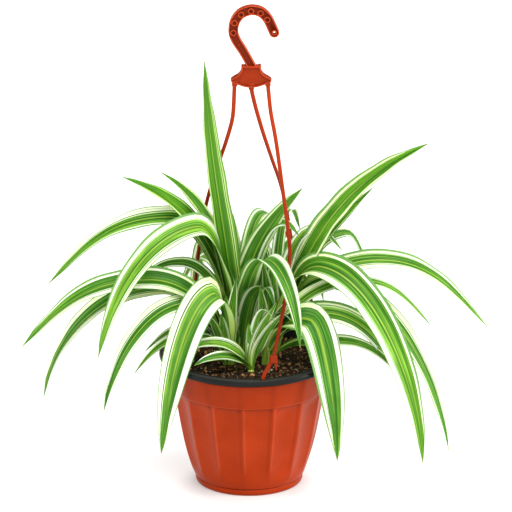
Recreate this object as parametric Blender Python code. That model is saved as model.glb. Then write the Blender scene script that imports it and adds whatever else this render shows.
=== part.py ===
"""A strap-leaved house plant in a fluted hanging pot, with its three-strand plastic hanger.

The origin is the centre of the pot's base, +Z is up and the side seen in the reference view faces -Y.
Sizes and places are written in millimetres and become metres where a mesh is made.
Directions round the pot are degrees: 0 faces the viewer (-Y), 90 is the viewer's right (+X).
"""
import math
import random

import bmesh
import bpy
from mathutils import Vector

MM = 0.001
GAP = 0.3

# Pot shell: ridge radius at each height, from the foot to the top edge under the lip
WALL = [(8.6, 60.3), (20.0, 65.3), (38.0, 70.8), (57.0, 75.3), (80.0, 79.6), (110.8, 84.8), (113.0, 86.2),
        (148.6, 92.8)]
INSIDE = [(148.6, 90.7), (113.0, 84.1), (110.8, 80.9), (95.0, 78.3), (57.0, 71.4), (20.0, 61.4), (5.0, 54.5)]
FOOT = [(50.0, 0.0), (57.0, 0.0), (59.5, 2.4), (59.5, 6.4), (58.7, 8.0)]
BAND_FOOT = 113.0
FLUTES = 15
FLUTE_PHASE = -4.0
FLUTE_DEPTH = 2.8
BAND_FLUTE_DEPTH = 0.4
FLUTE_START = 10.0
FLUTE_FULL = 34.0
RIDGE_SHARE = 0.07
STEPS_PER_FLUTE = 4
FLOOR_RAISE = 3.0
FLOOR_DISC = 20.0
CHANNEL_SLOPE = 3.0
DRAIN_COUNT = 8
DRAIN_RADIUS = 1.75
DRAIN_RING = 35.0

# Pot rim: the charcoal inner skirt, its bead, the ledge and the turned-down lip
RIM_SECTION = [(82.5, 114.2), (89.3, 149.6), (90.6, 151.0), (97.4, 150.4), (99.6, 148.6), (99.4, 145.0),
               (97.9, 143.7), (96.8, 144.6), (97.9, 147.4), (96.4, 149.0), (90.15, 149.0), (83.75, 114.2)]
SLOT_RADIUS = 94.4
SLOT_TURN = -7.6
PRONG_WIDE = 4.4
PRONG_THICK = 1.8

# Soil
SOIL_SIDE = [(5.4, 53.9), (20.0, 60.9), (57.0, 70.9), (95.0, 77.8), (110.6, 80.3), (114.6, 81.9),
             (138.0, 86.4)]
SOIL_TOP = 140.0
SOIL_RINGS = 7
SOIL_BUMP = 1.3

# Crowns: where each rosette stands on the soil, as (right, back)
CROWNS = {
    "left": (-22, -16),
    "middle": (-10, 24),
    "front": (2, -38),
    "right": (18, -14),
    "back": (26, 26),
}
CORE_SIDES = 10
CORE_RADIUS = 11.0
CORE_NECK = 9.0
CORE_FOOT = 118.0
CORE_TOP = 152.0
ROOT_HEIGHT = 143.0
ROOT_STEP = 1.3
ROOT_REACH_LIMIT = 6.5
SAME_SIDE = 50.0

# Blades: their section, and how the width and the fold change from the root (0) to the tip (1)
BLADE_THICK = 0.72
LEAST_HALF = 0.6
ROOT_WIDTH = 0.34
WIDEST_FROM = 0.36
POINT_POWER = 3.7
ROOT_FOLD = 1.1
OPEN_FOLD = 0.32
TIP_FOLD = 0.20
OPEN_FROM = 0.35
TURN_BY = 0.45

# How strongly the root's, the crest's and the tip's directions pull on a leaf's curve
ROOT_PULL = 0.55
CREST_PULL = 0.50
TIP_PULL = 0.40
CURVE_STEPS = 24

# Stations along a blade: a length, and the length that a bend of one radian counts for
BLADE_STEP = 60.0
BEND_SHARE = 62.0
FEWEST_STEPS = 5

# Arched leaves: name, crown, heading, rise, crest (reach, height), tip (reach, height), droop, width,
# turn of the blade by mid length, and at the tip. Reach is from the crown, height from the base.
ARCHED = [
    ("far_left_high", "middle", -88, 80, (78, 300), (213, 222), 48, 31, 38, 32),
    ("white_arch", "middle", -62, 82, (55, 297), (177, 164), 78, 36, 36, 42),
    ("low_left_long", "left", -86, 78, (90, 242), (230, 166), 48, 34, 36, 28),
    ("low_left_droop", "left", -93, 78, (71, 230), (206, 95), 82, 28, 32, 24),
    ("tucked_left", "middle", -95, 78, (66, 243), (118, 212), 45, 21, 32, 22),
    ("left_hang", "left", -70, 80, (52, 219), (147, 104), 80, 26, 32, 34),
    ("front_left_hang", "left", -46, 84, (24, 230), (104, 62), 84, 39, 40, 46),
    ("small_left_a", "left", -76, 75, (42, 179), (108, 139), 50, 15, 30, 24),
    ("small_left_b", "left", -86, 75, (42, 185), (94, 157), 45, 16, 25, 22),
    ("rim_left_a", "front", -76, 60, (50, 178), (76, 168), 35, 18, 34, 34),
    ("rim_left_b", "front", -60, 55, (46, 165), (72, 160), 25, 16, 34, 34),
    ("fold_over", "middle", 26, 84, (81, 273), (151, 195), 85, 30, -4, -24),
    ("centre_dark", "middle", 34, 84, (52, 231), (68, 214), 60, 27, 30, 10),
    ("front_short", "front", 48, 84, (22, 217), (36, 205), 45, 17, 38, 30),
    ("front_low", "right", 80, 75, (32, 184), (50, 172), 35, 15, -20, -10),
    ("right_long", "right", 92, 76, (104, 237), (184, 182), 50, 20, -34, -32),
    ("right_far", "back", 95, 76, (113, 244), (240, 161), 48, 28, -42, -32),
    ("right_big", "back", 60, 80, (63, 251), (192, 43), 86, 40, -36, -46),
    ("right_behind", "back", 74, 80, (66, 229), (203, 44), 82, 26, -34, -32),
    ("right_mid", "right", 80, 76, (69, 204), (158, 124), 60, 33, -32, -26),
    ("right_low", "right", 75, 74, (92, 175), (156, 138), 50, 18, -32, -24),
    ("front_right_hang", "right", 52, 80, (62, 206), (101, 49), 88, 39, -42, -50),
    ("curled", "right", 70, 80, (52, 213), (89, 124), 100, 15, -15, -10),
    ("back_right_a", "back", 110, 80, (85, 270), (114, 225), 60, 24, -38, -34),
    ("back_right_b", "back", 98, 86, (44, 281), (78, 255), 50, 20, -45, -40),
    ("back_centre", "middle", 82, 90, (48, 295), (66, 280), 50, 27, -58, -50),
    ("back_top", "back", 165, 86, (58, 284), (120, 241), 50, 16, -10, 0),
    ("back_arch", "middle", 152, 86, (50, 286), (122, 212), 52, 22, -20, 12),
    ("back_left_a", "middle", -163, 82, (70, 255), (190, 112), 75, 26, 10, 0),
    ("back_left_b", "middle", -146, 80, (60, 232), (130, 158), 60, 21, 14, 10),
    ("back_right_c", "back", 160, 80, (66, 245), (168, 140), 65, 24, -14, 0),
    ("back_right_d", "back", 180, 82, (72, 226), (205, 95), 78, 27, 0, 0),
    ("back_right_e", "back", 196, 82, (58, 242), (180, 125), 75, 25, 8, 0),
    ("small_left_c", "left", -62, 72, (34, 178), (56, 166), 45, 14, 20, 20),
    ("small_left_d", "left", -100, 74, (40, 190), (70, 172), 45, 15, 20, 20),
    ("centre_fill_c", "right", 60, 82, (20, 204), (44, 182), 60, 17, 20, 10),
]

# Ascending leaves: name, crown, heading, rise, tip (reach, height), angle at the tip, width, turns
ASCENDING = [
    ("tall", "middle", -60, 84, (44, 490), 87, 28, -42, -44),
    ("up_left_a", "middle", -88, 77, (88, 353), 33, 23, 48, 42),
    ("up_left_b", "middle", -84, 83, (131, 351), 20, 28, 42, 38),
    ("up_right_short", "middle", 76, 91, (71, 339), 47, 32, 68, 70),
    ("up_right_tall", "back", 84, 74, (173, 391), 27, 34, -50, -46),
    ("up_right_b", "back", 98, 82, (113, 328), 43, 23, -42, -38),
    ("front_right_up", "right", 62, 76, (34, 226), 50, 17, 40, 40),
    ("behind_fold", "back", -8, 86, (12, 256), 80, 20, 0, 0),
    ("centre_back", "middle", 75, 82, (32, 252), 66, 21, 60, 60),
    ("back_mid", "middle", 189, 86, (51, 285), 60, 22, 0, 0),
    ("centre_fill_a", "back", -35, 84, (18, 250), 76, 19, -30, -30),
    ("centre_fill_b", "right", -25, 82, (14, 236), 72, 18, -25, -20),
    ("left_up_a", "left", -15, 84, (14, 225), 72, 16, -10, -10),
    ("left_up_c", "left", -60, 80, (40, 214), 40, 15, -30, -30),
    ("front_up", "front", -20, 84, (8, 200), 78, 13, -15, -15),
    ("front_up_b", "front", 62, 80, (32, 226), 60, 17, 42, 42),
    ("front_up_c", "front", 75, 80, (39, 214), 50, 17, 50, 50),
    ("right_up", "right", -10, 84, (14, 216), 66, 16, -8, -8),
]

# Hanger: the hook's centre line and its widths, the plate below it, and the strands' routes
HOOK_LINE = [(5.4, 480.0), (-6.5, 502.0), (-14.1, 514.5), (-17.2, 524.5), (-15.4, 536.5), (-8.4, 545.7),
             (2.3, 549.6), (12.6, 547.5), (20.6, 539.5), (27.8, 523.6)]
HOOK_WIDE = 11.0
SHANK_WIDE = 9.6
HOOK_THICK = 6.6
HOOK_STEPS = 3
TIP_STEPS = 5
PLATE_CENTRE = 2.4
PLATE_HALF = [(10.4, 486.2), (10.4, 483.0), (8.8, 481.6), (10.4, 477.4), (14.4, 473.0), (20.2, 470.6),
              (22.6, 469.4), (22.8, 467.4), (20.8, 465.4), (14.0, 462.2), (7.0, 460.6), (0.0, 460.0)]
PLATE_THICK = 8.4
STRANDS = {
    "front": [(20.8, 0, 468), (21, 0, 461), (21.7, -2, 453), (24, -8, 433), (30, -15, 400), (37, -27, 350),
              (43, -35, 305), (45, -40, 277), (41, -57, 240), (35, -71, 210), (27, -87, 175)],
    "right": [(2.6, 0, 464), (2.8, 0, 458), (3.8, 1, 451), (8, 4, 432), (15, 9, 405), (25, 18, 370),
              (35, 29, 335), (42, 45, 296), (49, 52, 254), (62, 56, 215), (74, 58, 168)],
    "left": [(-15.8, 0, 468), (-16, 0, 461), (-16.3, 2, 452), (-18, 8, 422), (-24, 16, 395), (-31, 24, 370),
             (-43, 34, 328), (-50, 42, 294), (-56, 52, 248), (-60, 58, 205), (-66, 66, 168)],
}
STRAND_WIDE = 4.2
STRAND_THICK = 3.2
STRAND_STEPS = 2
CLIP_WIDE = 8.6
CLIP_THICK = 4.4
CLIP_TALL = 9.0
PRONG_TOE = 145.4
SHORT_PRONG = 14.0


def smooth(t):
    """Ease from 0 to 1."""
    t = min(max(t, 0.0), 1.0)
    return t * t * (3.0 - 2.0 * t)


def polar(radius, degrees, height):
    """A point round the pot's axis."""
    angle = math.radians(degrees)
    return Vector((radius * math.sin(angle), -radius * math.cos(angle), height))


def remove_all():
    for item in list(bpy.data.objects):
        bpy.data.objects.remove(item, do_unlink=True)


def plastic(name, colour, roughness):
    """A plain surface colour for a piece."""
    surface = bpy.data.materials.new(name)
    surface.use_nodes = True
    shader = surface.node_tree.nodes["Principled BSDF"]
    shader.inputs["Base Color"].default_value = (*colour, 1.0)
    shader.inputs["Roughness"].default_value = roughness
    shader.inputs["Metallic"].default_value = 0.0
    return surface


def solid(name, points, faces, surface=None):
    """An object from points in millimetres, with its faces turned outward."""
    mesh = bpy.data.meshes.new(name)
    mesh.from_pydata([Vector(p) * MM for p in points], [], faces)
    shape = bmesh.new()
    shape.from_mesh(mesh)
    bmesh.ops.recalc_face_normals(shape, faces=shape.faces)
    shape.to_mesh(mesh)
    shape.free()
    item = bpy.data.objects.new(name, mesh)
    bpy.context.collection.objects.link(item)
    if surface:
        mesh.materials.append(surface)
    return item


def group_of(name, items):
    """Move items into a collection of their own."""
    group = bpy.data.collections.new(name)
    bpy.context.scene.collection.children.link(group)
    for item in items:
        for old in list(item.users_collection):
            old.objects.unlink(item)
        group.objects.link(item)
    return group


def combine(item, items, operation, solver="EXACT"):
    """Join or cut an object with several others in one Boolean, apply it and remove them."""
    group = group_of(item.name + "_tools", items)
    step = item.modifiers.new(operation.lower(), "BOOLEAN")
    step.operation = operation
    step.operand_type = "COLLECTION"
    step.collection = group
    step.solver = solver
    bpy.context.view_layer.update()
    seen = item.evaluated_get(bpy.context.evaluated_depsgraph_get())
    mesh = bpy.data.meshes.new_from_object(seen)
    mesh.name = item.name
    item.modifiers.remove(step)
    item.data = mesh
    for tool in list(group.objects):
        bpy.data.objects.remove(tool, do_unlink=True)
    bpy.data.collections.remove(group)


def keep_outer_body(item):
    """Fill hollows that joining has sealed and drop loose scraps: keep the widest connected shell."""
    shape = bmesh.new()
    shape.from_mesh(item.data)
    bmesh.ops.triangulate(shape, faces=shape.faces)
    shape.verts.ensure_lookup_table()
    seen = set()
    shells = []
    for start in shape.verts:
        if start in seen:
            continue
        shell = []
        stack = [start]
        seen.add(start)
        while stack:
            vert = stack.pop()
            shell.append(vert)
            for edge in vert.link_edges:
                other = edge.other_vert(vert)
                if other not in seen:
                    seen.add(other)
                    stack.append(other)
        shells.append(shell)
    shells.sort(key=len)
    loose = [vert for shell in shells[:-1] for vert in shell]
    if loose:
        bmesh.ops.delete(shape, geom=loose, context="VERTS")
    shape.to_mesh(item.data)
    shape.free()


def ring_faces(first, second, count):
    return [(first + i, first + (i + 1) % count, second + (i + 1) % count, second + i) for i in range(count)]


def smooth_sides(item, degrees=30.0):
    item.data.shade_smooth()
    item.data.set_sharp_from_angle(angle=math.radians(degrees))


def flute_cut(degrees, height):
    """How far the wall lies inside its ridges."""
    share = ((degrees - FLUTE_PHASE) % (360.0 / FLUTES)) * FLUTES / 360.0
    if share < RIDGE_SHARE or share > 1.0 - RIDGE_SHARE:
        return 0.0
    dish = math.sin(math.pi * (share - RIDGE_SHARE) / (1.0 - 2.0 * RIDGE_SHARE))
    if height >= BAND_FOOT:
        return BAND_FLUTE_DEPTH * dish
    return FLUTE_DEPTH * dish * smooth((height - FLUTE_START) / (FLUTE_FULL - FLUTE_START))


def pot_shell(surface):
    """The fluted outer pot: foot ring, dished panels, plain band, and a floor with drain holes."""
    steps = FLUTES * STEPS_PER_FLUTE
    turns = [FLUTE_PHASE + 360.0 * i / steps for i in range(steps)]
    rings = [[polar(FLOOR_DISC, t, 0.0) for t in turns],
             [polar(FLOOR_DISC + CHANNEL_SLOPE, t, FLOOR_RAISE) for t in turns],
             [polar(FOOT[0][0] - CHANNEL_SLOPE, t, FLOOR_RAISE) for t in turns]]
    rings += [[polar(radius, t, height) for t in turns] for radius, height in FOOT]
    rings += [[polar(radius - flute_cut(t, height), t, height) for t in turns] for height, radius in WALL]
    rings += [[polar(radius, t, height) for t in turns] for height, radius in INSIDE]
    points = [p for ring in rings for p in ring]
    faces = []
    for i in range(len(rings) - 1):
        faces += ring_faces(i * steps, (i + 1) * steps, steps)
    below, above = len(points), len(points) + 1
    points += [Vector((0, 0, 0)), Vector((0, 0, INSIDE[-1][0]))]
    last = (len(rings) - 1) * steps
    faces += [(below, (i + 1) % steps, i) for i in range(steps)]
    faces += [(above, last + i, last + (i + 1) % steps) for i in range(steps)]
    item = solid("pot_shell", points, faces, surface)
    drills = []
    for i in range(DRAIN_COUNT):
        centre = polar(DRAIN_RING, 360.0 * i / DRAIN_COUNT, 0.5 * (FLOOR_RAISE + INSIDE[-1][0]))
        drills.append(post("drill", centre, DRAIN_RADIUS, 6, -4.0, 4.0))
    combine(item, drills, "DIFFERENCE")
    smooth_sides(item)
    return item


def post(name, centre, radius, sides, low, high, top_radius=None):
    """An upright prism or taper."""
    points = []
    for height, r in ((low, radius), (high, radius if top_radius is None else top_radius)):
        for i in range(sides):
            a = 2.0 * math.pi * i / sides
            points.append(centre + Vector((r * math.cos(a), r * math.sin(a), height)))
    faces = ring_faces(0, sides, sides)
    faces += [tuple(range(sides))[::-1], tuple(range(sides, 2 * sides))]
    return solid(name, points, faces)


def block(name, centre, across, along, up, half):
    """A box with its half sizes along three given directions."""
    points = []
    for k in (-1, 1):
        for i, j in ((-1, -1), (1, -1), (1, 1), (-1, 1)):
            points.append(centre + across * (i * half[0]) + along * (j * half[1]) + up * (k * half[2]))
    faces = [(0, 1, 2, 3), (7, 6, 5, 4), (0, 4, 5, 1), (1, 5, 6, 2), (2, 6, 7, 3), (3, 7, 4, 0)]
    return solid(name, points, faces)


def strand_turn(route):
    """The direction round the pot in which a strand comes down."""
    x, y, _ = route[-1]
    return math.degrees(math.atan2(x, -y))


def pot_rim(surface):
    """The charcoal inner layer: skirt, bead, ledge and lip, with a slot for each clip."""
    steps = FLUTES * STEPS_PER_FLUTE
    turns = [FLUTE_PHASE + 360.0 * i / steps for i in range(steps)]
    points = []
    for radius, height in RIM_SECTION:
        points += [polar(radius, t, height) for t in turns]
    count = len(RIM_SECTION)
    faces = []
    for i in range(count):
        faces += ring_faces(i * steps, ((i + 1) % count) * steps, steps)
    item = solid("pot_rim", points, faces, surface)
    slots = []
    for route in STRANDS.values():
        turn = strand_turn(route) + SLOT_TURN
        outward = polar(1.0, turn, 0.0)
        sideways = polar(1.0, turn + 90.0, 0.0)
        half = (0.5 * PRONG_WIDE + GAP, 0.5 * PRONG_THICK + GAP, 3.0)
        slots.append(block("slot", polar(SLOT_RADIUS, turn, 149.6), sideways, outward, Vector((0, 0, 1)), half))
    combine(item, slots, "DIFFERENCE")
    smooth_sides(item)
    return item


def soil_height(x, y):
    """The crumbly surface: low swells, level round each crown and lower towards the wall."""
    swell = 0.5 * math.sin(0.11 * x + 1.3) + 0.5 * math.sin(0.13 * y + 0.4) + 0.6 * math.sin(0.07 * (x - y))
    near = min(math.hypot(x - cx, y - cy) for cx, cy in CROWNS.values())
    calm = smooth((near - CORE_RADIUS) / 14.0)
    edge = smooth((math.hypot(x, y) - 66.0) / 20.0)
    return SOIL_TOP + SOIL_BUMP * swell * calm - 1.4 * edge


def soil(surface):
    """Potting soil, with a plain hole for each crown."""
    steps = 36
    rng = random.Random(7)
    turns = [360.0 * i / steps for i in range(steps)]
    points = []
    for height, radius in SOIL_SIDE:
        points += [polar(radius, t, height) for t in turns]
    outer = SOIL_SIDE[-1][1]
    for ring in range(1, SOIL_RINGS):
        radius = outer * (1.0 - ring / SOIL_RINGS)
        for t in turns:
            p = polar(radius, t, 0.0)
            near = min(math.hypot(p.x - cx, p.y - cy) for cx, cy in CROWNS.values())
            crumb = rng.uniform(-0.5, 0.5) * smooth((near - CORE_RADIUS - 3.0) / 8.0)
            p.z = soil_height(p.x, p.y) + crumb
            points.append(p)
    rows = len(SOIL_SIDE) + SOIL_RINGS - 1
    faces = []
    for i in range(rows - 1):
        faces += ring_faces(i * steps, (i + 1) * steps, steps)
    below, above = len(points), len(points) + 1
    points += [Vector((0, 0, SOIL_SIDE[0][0])), Vector((0, 0, soil_height(0, 0)))]
    last = (rows - 1) * steps
    faces += [(below, (i + 1) % steps, i) for i in range(steps)]
    faces += [(above, last + i, last + (i + 1) % steps) for i in range(steps)]
    item = solid("soil", points, faces, surface)
    holes = []
    for x, y in CROWNS.values():
        centre = Vector((x, y, 0.0))
        holes.append(post("hole", centre, CORE_RADIUS + GAP + 0.1, CORE_SIDES, CORE_FOOT - GAP, CORE_TOP + 10.0))
    combine(item, holes, "DIFFERENCE")
    smooth_sides(item)
    return item


def bezier(p0, p1, p2, p3, t):
    a = 1.0 - t
    return [a**3 * p0[i] + 3 * a * a * t * p1[i] + 3 * a * t * t * p2[i] + t**3 * p3[i] for i in (0, 1)]


def heading_line(reach, rise, crest, tip, end):
    """A leaf's side view as (reach, height): up from the root, over its crest if it has one, to the tip."""
    root = (reach, ROOT_HEIGHT)
    rise = math.radians(rise)
    end = math.radians(end)
    if crest is None:
        pull = TIP_PULL * math.dist(tip, root)
        first = (root[0] + pull * math.cos(rise), root[1] + pull * math.sin(rise))
        second = (tip[0] - pull * math.cos(end), tip[1] - pull * math.sin(end))
        steps = 2 * CURVE_STEPS
        return [bezier(root, first, second, tip, i / steps) for i in range(steps + 1)]
    lift = ROOT_PULL * (crest[1] - root[1])
    first = (root[0] + lift * math.cos(rise), root[1] + lift * math.sin(rise))
    second = (crest[0] - ROOT_PULL * (crest[0] - root[0]), crest[1])
    line = [bezier(root, first, second, crest, i / CURVE_STEPS) for i in range(CURVE_STEPS)]
    first = (crest[0] + CREST_PULL * (tip[0] - crest[0]), crest[1])
    pull = TIP_PULL * math.dist(tip, crest)
    second = (tip[0] - pull * math.cos(end), tip[1] + pull * math.sin(end))
    return line + [bezier(crest, first, second, tip, i / CURVE_STEPS) for i in range(CURVE_STEPS + 1)]


def blade_stations(line):
    """Stations along a leaf, closer together where it bends: (point, share of its length)."""
    lengths = [0.0]
    marks = [0.0]
    for i in range(1, len(line)):
        piece = line[i] - line[i - 1]
        before = line[i - 1] - line[i - 2] if i > 1 else piece
        lengths.append(lengths[-1] + piece.length)
        marks.append(marks[-1] + piece.length + BEND_SHARE * piece.angle(before, 0.0))
    steps = max(FEWEST_STEPS, round(marks[-1] / BLADE_STEP))
    out = []
    j = 0
    for i in range(steps + 1):
        want = marks[-1] * i / steps
        while j < len(line) - 2 and marks[j + 1] < want:
            j += 1
        part = min((want - marks[j]) / max(marks[j + 1] - marks[j], 1e-9), 1.0)
        share = (lengths[j] + (lengths[j + 1] - lengths[j]) * part) / lengths[-1]
        out.append((line[j].lerp(line[j + 1], part), share))
    return out


def blade_width(width, share):
    """Narrow and clasping at the root, widest before the middle, with a long point."""
    widening = ROOT_WIDTH + (1.0 - ROOT_WIDTH) * smooth(share / WIDEST_FROM)
    return width * widening * (1.0 - share**POINT_POWER)


def blade_channel(share):
    """How steeply the two halves rise from the midrib: folded at the root, shallow beyond."""
    opening = (ROOT_FOLD - OPEN_FOLD) * smooth(share / OPEN_FROM)
    return ROOT_FOLD - opening - (OPEN_FOLD - TIP_FOLD) * smooth(2.0 * share - 1.0)


def leaf(name, crown, heading, line, width, turn, tip_turn):
    """A channelled blade with its two faces split into triangles alike."""
    x, y = CROWNS[crown]
    outward = polar(1.0, heading, 0.0)
    sideways = polar(1.0, heading + 90.0, 0.0)
    stations = blade_stations([Vector((x, y, 0.0)) + outward * r + Vector((0, 0, z)) for r, z in line])
    steps = len(stations) - 1
    points = []
    for i, (p, share) in enumerate(stations):
        along = (stations[min(i + 1, steps)][0] - stations[max(i - 1, 0)][0]).normalized()
        side = (sideways - along * sideways.dot(along)).normalized()
        face = along.cross(side)
        late = smooth((share - TURN_BY) / (1.0 - TURN_BY))
        angle = math.radians(turn * smooth(share / TURN_BY) + (tip_turn - turn) * late)
        across = side * math.cos(angle) - face * math.sin(angle)
        up = face * math.cos(angle) + side * math.sin(angle)
        half = max(0.5 * blade_width(width, share), LEAST_HALF)
        slope = blade_channel(share)
        spread = half / math.hypot(1.0, slope)
        edge = up * (spread * slope)
        thick = up * (BLADE_THICK * math.hypot(1.0, slope))
        top = [p - across * spread + edge, p, p + across * spread + edge]
        points += top + [q - thick for q in reversed(top)]
    faces = [(0, 1, 4), (0, 4, 5), (1, 2, 3), (1, 3, 4)]
    for i in range(steps):
        a, b = 6 * i, 6 * i + 6
        # left half, above and below
        faces += [(a, b, b + 1), (a, b + 1, a + 1), (a + 5, b + 5, b + 4), (a + 5, b + 4, a + 4)]
        # right half, above and below
        faces += [(a + 2, b + 2, b + 1), (a + 2, b + 1, a + 1), (a + 3, b + 3, b + 4), (a + 3, b + 4, a + 4)]
        # the two edges
        faces += [(a, b, b + 5), (a, b + 5, a + 5), (a + 2, b + 2, b + 3), (a + 2, b + 3, a + 3)]
    end = 6 * steps
    faces += [(end, end + 1, end + 4), (end, end + 4, end + 5)]
    faces += [(end + 1, end + 2, end + 3), (end + 1, end + 3, end + 4)]
    return solid(name, points, faces)


def crown_leaves(crown):
    """A crown's leaves from the highest to the lowest, as (top, name, heading, rise, crest, tip, end, looks)."""
    leaves = []
    for name, home, heading, rise, crest, tip, droop, *looks in ARCHED:
        if home == crown:
            leaves.append((crest[1], name, heading, rise, crest, tip, droop, looks))
    for name, home, heading, rise, tip, end, *looks in ASCENDING:
        if home == crown:
            leaves.append((tip[1], name, heading, rise, None, tip, end, looks))
    return sorted(leaves, key=lambda row: -row[0])


def rosette(crown, surface):
    """One crown: its leaves fused to the core that stands in the soil, lower leaves outside higher ones."""
    blades = []
    headings = []
    for _, name, heading, rise, crest, tip, end, looks in crown_leaves(crown):
        inner = sum(1 for other in headings if abs((heading - other + 180) % 360 - 180) < SAME_SIDE)
        headings.append(heading)
        line = heading_line(min(ROOT_STEP * inner, ROOT_REACH_LIMIT), rise, crest, tip, end)
        blades.append(leaf(name, crown, heading, line, *looks))
    x, y = CROWNS[crown]
    core = post("rosette_" + crown, Vector((x, y, 0.0)), CORE_RADIUS, CORE_SIDES, CORE_FOOT, CORE_TOP, CORE_NECK)
    combine(core, blades, "UNION")
    keep_outer_body(core)
    core.data.materials.clear()
    core.data.materials.append(surface)
    smooth_sides(core, 40.0)
    return core


def curve_through(route, steps):
    """A smooth line through hand-set points."""
    pts = [Vector(p) for p in route]
    ends = [pts[0] * 2 - pts[1]] + pts + [pts[-1] * 2 - pts[-2]]
    out = []
    for i in range(1, len(ends) - 2):
        a, b, c, d = ends[i - 1:i + 3]
        for j in range(steps):
            t = j / steps
            out.append(0.5 * ((2 * b) + (c - a) * t + (2 * a - 5 * b + 4 * c - d) * t * t
                              + (3 * b - a - 3 * c + d) * t**3))
    out.append(pts[-1])
    return out


def bar(name, line, turns, wide, thick, end_wide=None):
    """A flat-sided bar along a line, its flat side facing from the first turn round to the second."""
    points = []
    count = len(line)
    for i, p in enumerate(line):
        share = i / (count - 1)
        outward = polar(1.0, turns[0] + (turns[1] - turns[0]) * smooth(2.0 * share - 0.2), 0.0)
        along = (line[min(i + 1, count - 1)] - line[max(i - 1, 0)]).normalized()
        across = along.cross(outward).normalized()
        out = across.cross(along).normalized()
        half = 0.5 * (wide + ((end_wide or wide) - wide) * share)
        for j, k in ((-1, -1), (1, -1), (1, 1), (-1, 1)):
            points.append(p + across * (j * half) + out * (k * 0.5 * thick))
    faces = [(3, 2, 1, 0)]
    for i in range(count - 1):
        faces += ring_faces(4 * i, 4 * i + 4, 4)
    last = 4 * (count - 1)
    faces.append((last, last + 1, last + 2, last + 3))
    return solid(name, points, faces)


def strand(side, surface):
    """One hanger strand with its forked clip: the long prong stands in the rim's slot."""
    route = STRANDS[side]
    turn = strand_turn(route)
    outward = polar(1.0, turn, 0.0)
    start_turn = 180.0 * round(turn / 180.0)
    item = bar("hanger_strand_" + side, curve_through(route, STRAND_STEPS), (start_turn, turn), STRAND_WIDE,
               STRAND_THICK, STRAND_WIDE * 0.8)
    foot = Vector(route[-1])
    up = Vector((0, 0, 1))
    sideways = polar(1.0, turn + 90.0, 0.0)
    centre = foot - up * (0.5 * CLIP_TALL - 2.0)
    body = block("clip", centre, sideways, outward, up,
                 (0.5 * CLIP_WIDE, 0.5 * CLIP_THICK, 0.5 * CLIP_TALL))
    slot = turn + SLOT_TURN
    knee = centre - up * 2.0 - sideways * 2.4
    line = [knee, polar(SLOT_RADIUS, slot, 154.5), polar(SLOT_RADIUS, slot, 150.6),
            polar(SLOT_RADIUS, slot, PRONG_TOE)]
    long_prong = bar("long_prong", line, (slot, slot), PRONG_WIDE, PRONG_THICK)
    start = centre - up * 2.5 + sideways * 2.6
    end = start - up * (SHORT_PRONG - 4.0) + outward * 1.4
    short_prong = bar("short_prong", [start, end], (turn, turn), 3.0, 2.2, 1.6)
    combine(item, [body, long_prong, short_prong], "UNION", "MANIFOLD")
    keep_outer_body(item)
    item.data.materials.clear()
    item.data.materials.append(surface)
    return item


def prism(name, outline, thick):
    """An outline in the hanger's plane, given as (right, height), with a thickness."""
    count = len(outline)
    points = [Vector((x, y, z)) for y in (-0.5 * thick, 0.5 * thick) for x, z in outline]
    faces = ring_faces(0, count, count)
    faces += [tuple(range(count))[::-1], tuple(range(count, 2 * count))]
    return solid(name, points, faces)


def hook_outline():
    """The hook's band: offset to both sides of its centre line, with a round tip."""
    line = [Vector((p.x, p.y)) for p in curve_through([(x, z, 0.0) for x, z in HOOK_LINE], HOOK_STEPS)]
    left, right = [], []
    last = len(line) - 1
    for i, p in enumerate(line):
        along = (line[min(i + 1, last)] - line[max(i - 1, 0)]).normalized()
        half = 0.5 * (SHANK_WIDE + (HOOK_WIDE - SHANK_WIDE) * smooth(i / (0.4 * last)))
        normal = Vector((-along.y, along.x))
        left.append(p + normal * half)
        right.append(p - normal * half)
    along = (line[-1] - line[-2]).normalized()
    normal = Vector((-along.y, along.x))
    tip = []
    for i in range(1, TIP_STEPS):
        a = math.pi * i / TIP_STEPS
        tip.append(line[-1] + normal * (0.5 * HOOK_WIDE * math.cos(a)) + along * (0.5 * HOOK_WIDE * math.sin(a)))
    return [tuple(p) for p in left + tip + right[::-1]]


def hanger_hook(surface):
    """The hook and its flared plate in one moulding, with a socket for each strand."""
    outline = [(PLATE_CENTRE + x, z) for x, z in PLATE_HALF]
    outline += [(PLATE_CENTRE - x, z) for x, z in reversed(PLATE_HALF[:-1])]
    item = prism("hanger_hook", outline, PLATE_THICK)
    combine(item, [prism("hook", hook_outline(), HOOK_THICK)], "UNION")
    sockets = []
    for route in STRANDS.values():
        top = Vector(route[0])
        half = (0.5 * STRAND_WIDE + 2.0 * GAP, 0.5 * STRAND_THICK + 2.0 * GAP, 12.0)
        centre = top + Vector((0, 0, GAP - 12.0))
        sockets.append(block("socket", centre, Vector((1, 0, 0)), Vector((0, 1, 0)), Vector((0, 0, 1)), half))
    combine(item, sockets, "DIFFERENCE")
    keep_outer_body(item)
    item.data.materials.clear()
    item.data.materials.append(surface)
    return item


def main():
    remove_all()
    pot_shell(plastic("terracotta plastic", (0.47, 0.075, 0.025), 0.38))
    pot_rim(plastic("charcoal plastic", (0.035, 0.037, 0.035), 0.42))
    soil(plastic("potting soil", (0.045, 0.025, 0.014), 0.95))
    green = plastic("variegated leaf", (0.22, 0.42, 0.09), 0.42)
    for crown in CROWNS:
        rosette(crown, green)
    red = plastic("hanger plastic", (0.42, 0.055, 0.025), 0.40)
    hanger_hook(red)
    for side in STRANDS:
        strand(side, red)


main()
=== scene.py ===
"""Looks of a potted spider plant in a hanging pot: fine pot, rim, soil, leaves and hanger on the frame.

Sizes are millimetres and become metres where a mesh is made. Directions round the pot are degrees:
0 faces the camera (-Y) and 90 is its right (+X).
"""
import math
import random

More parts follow.
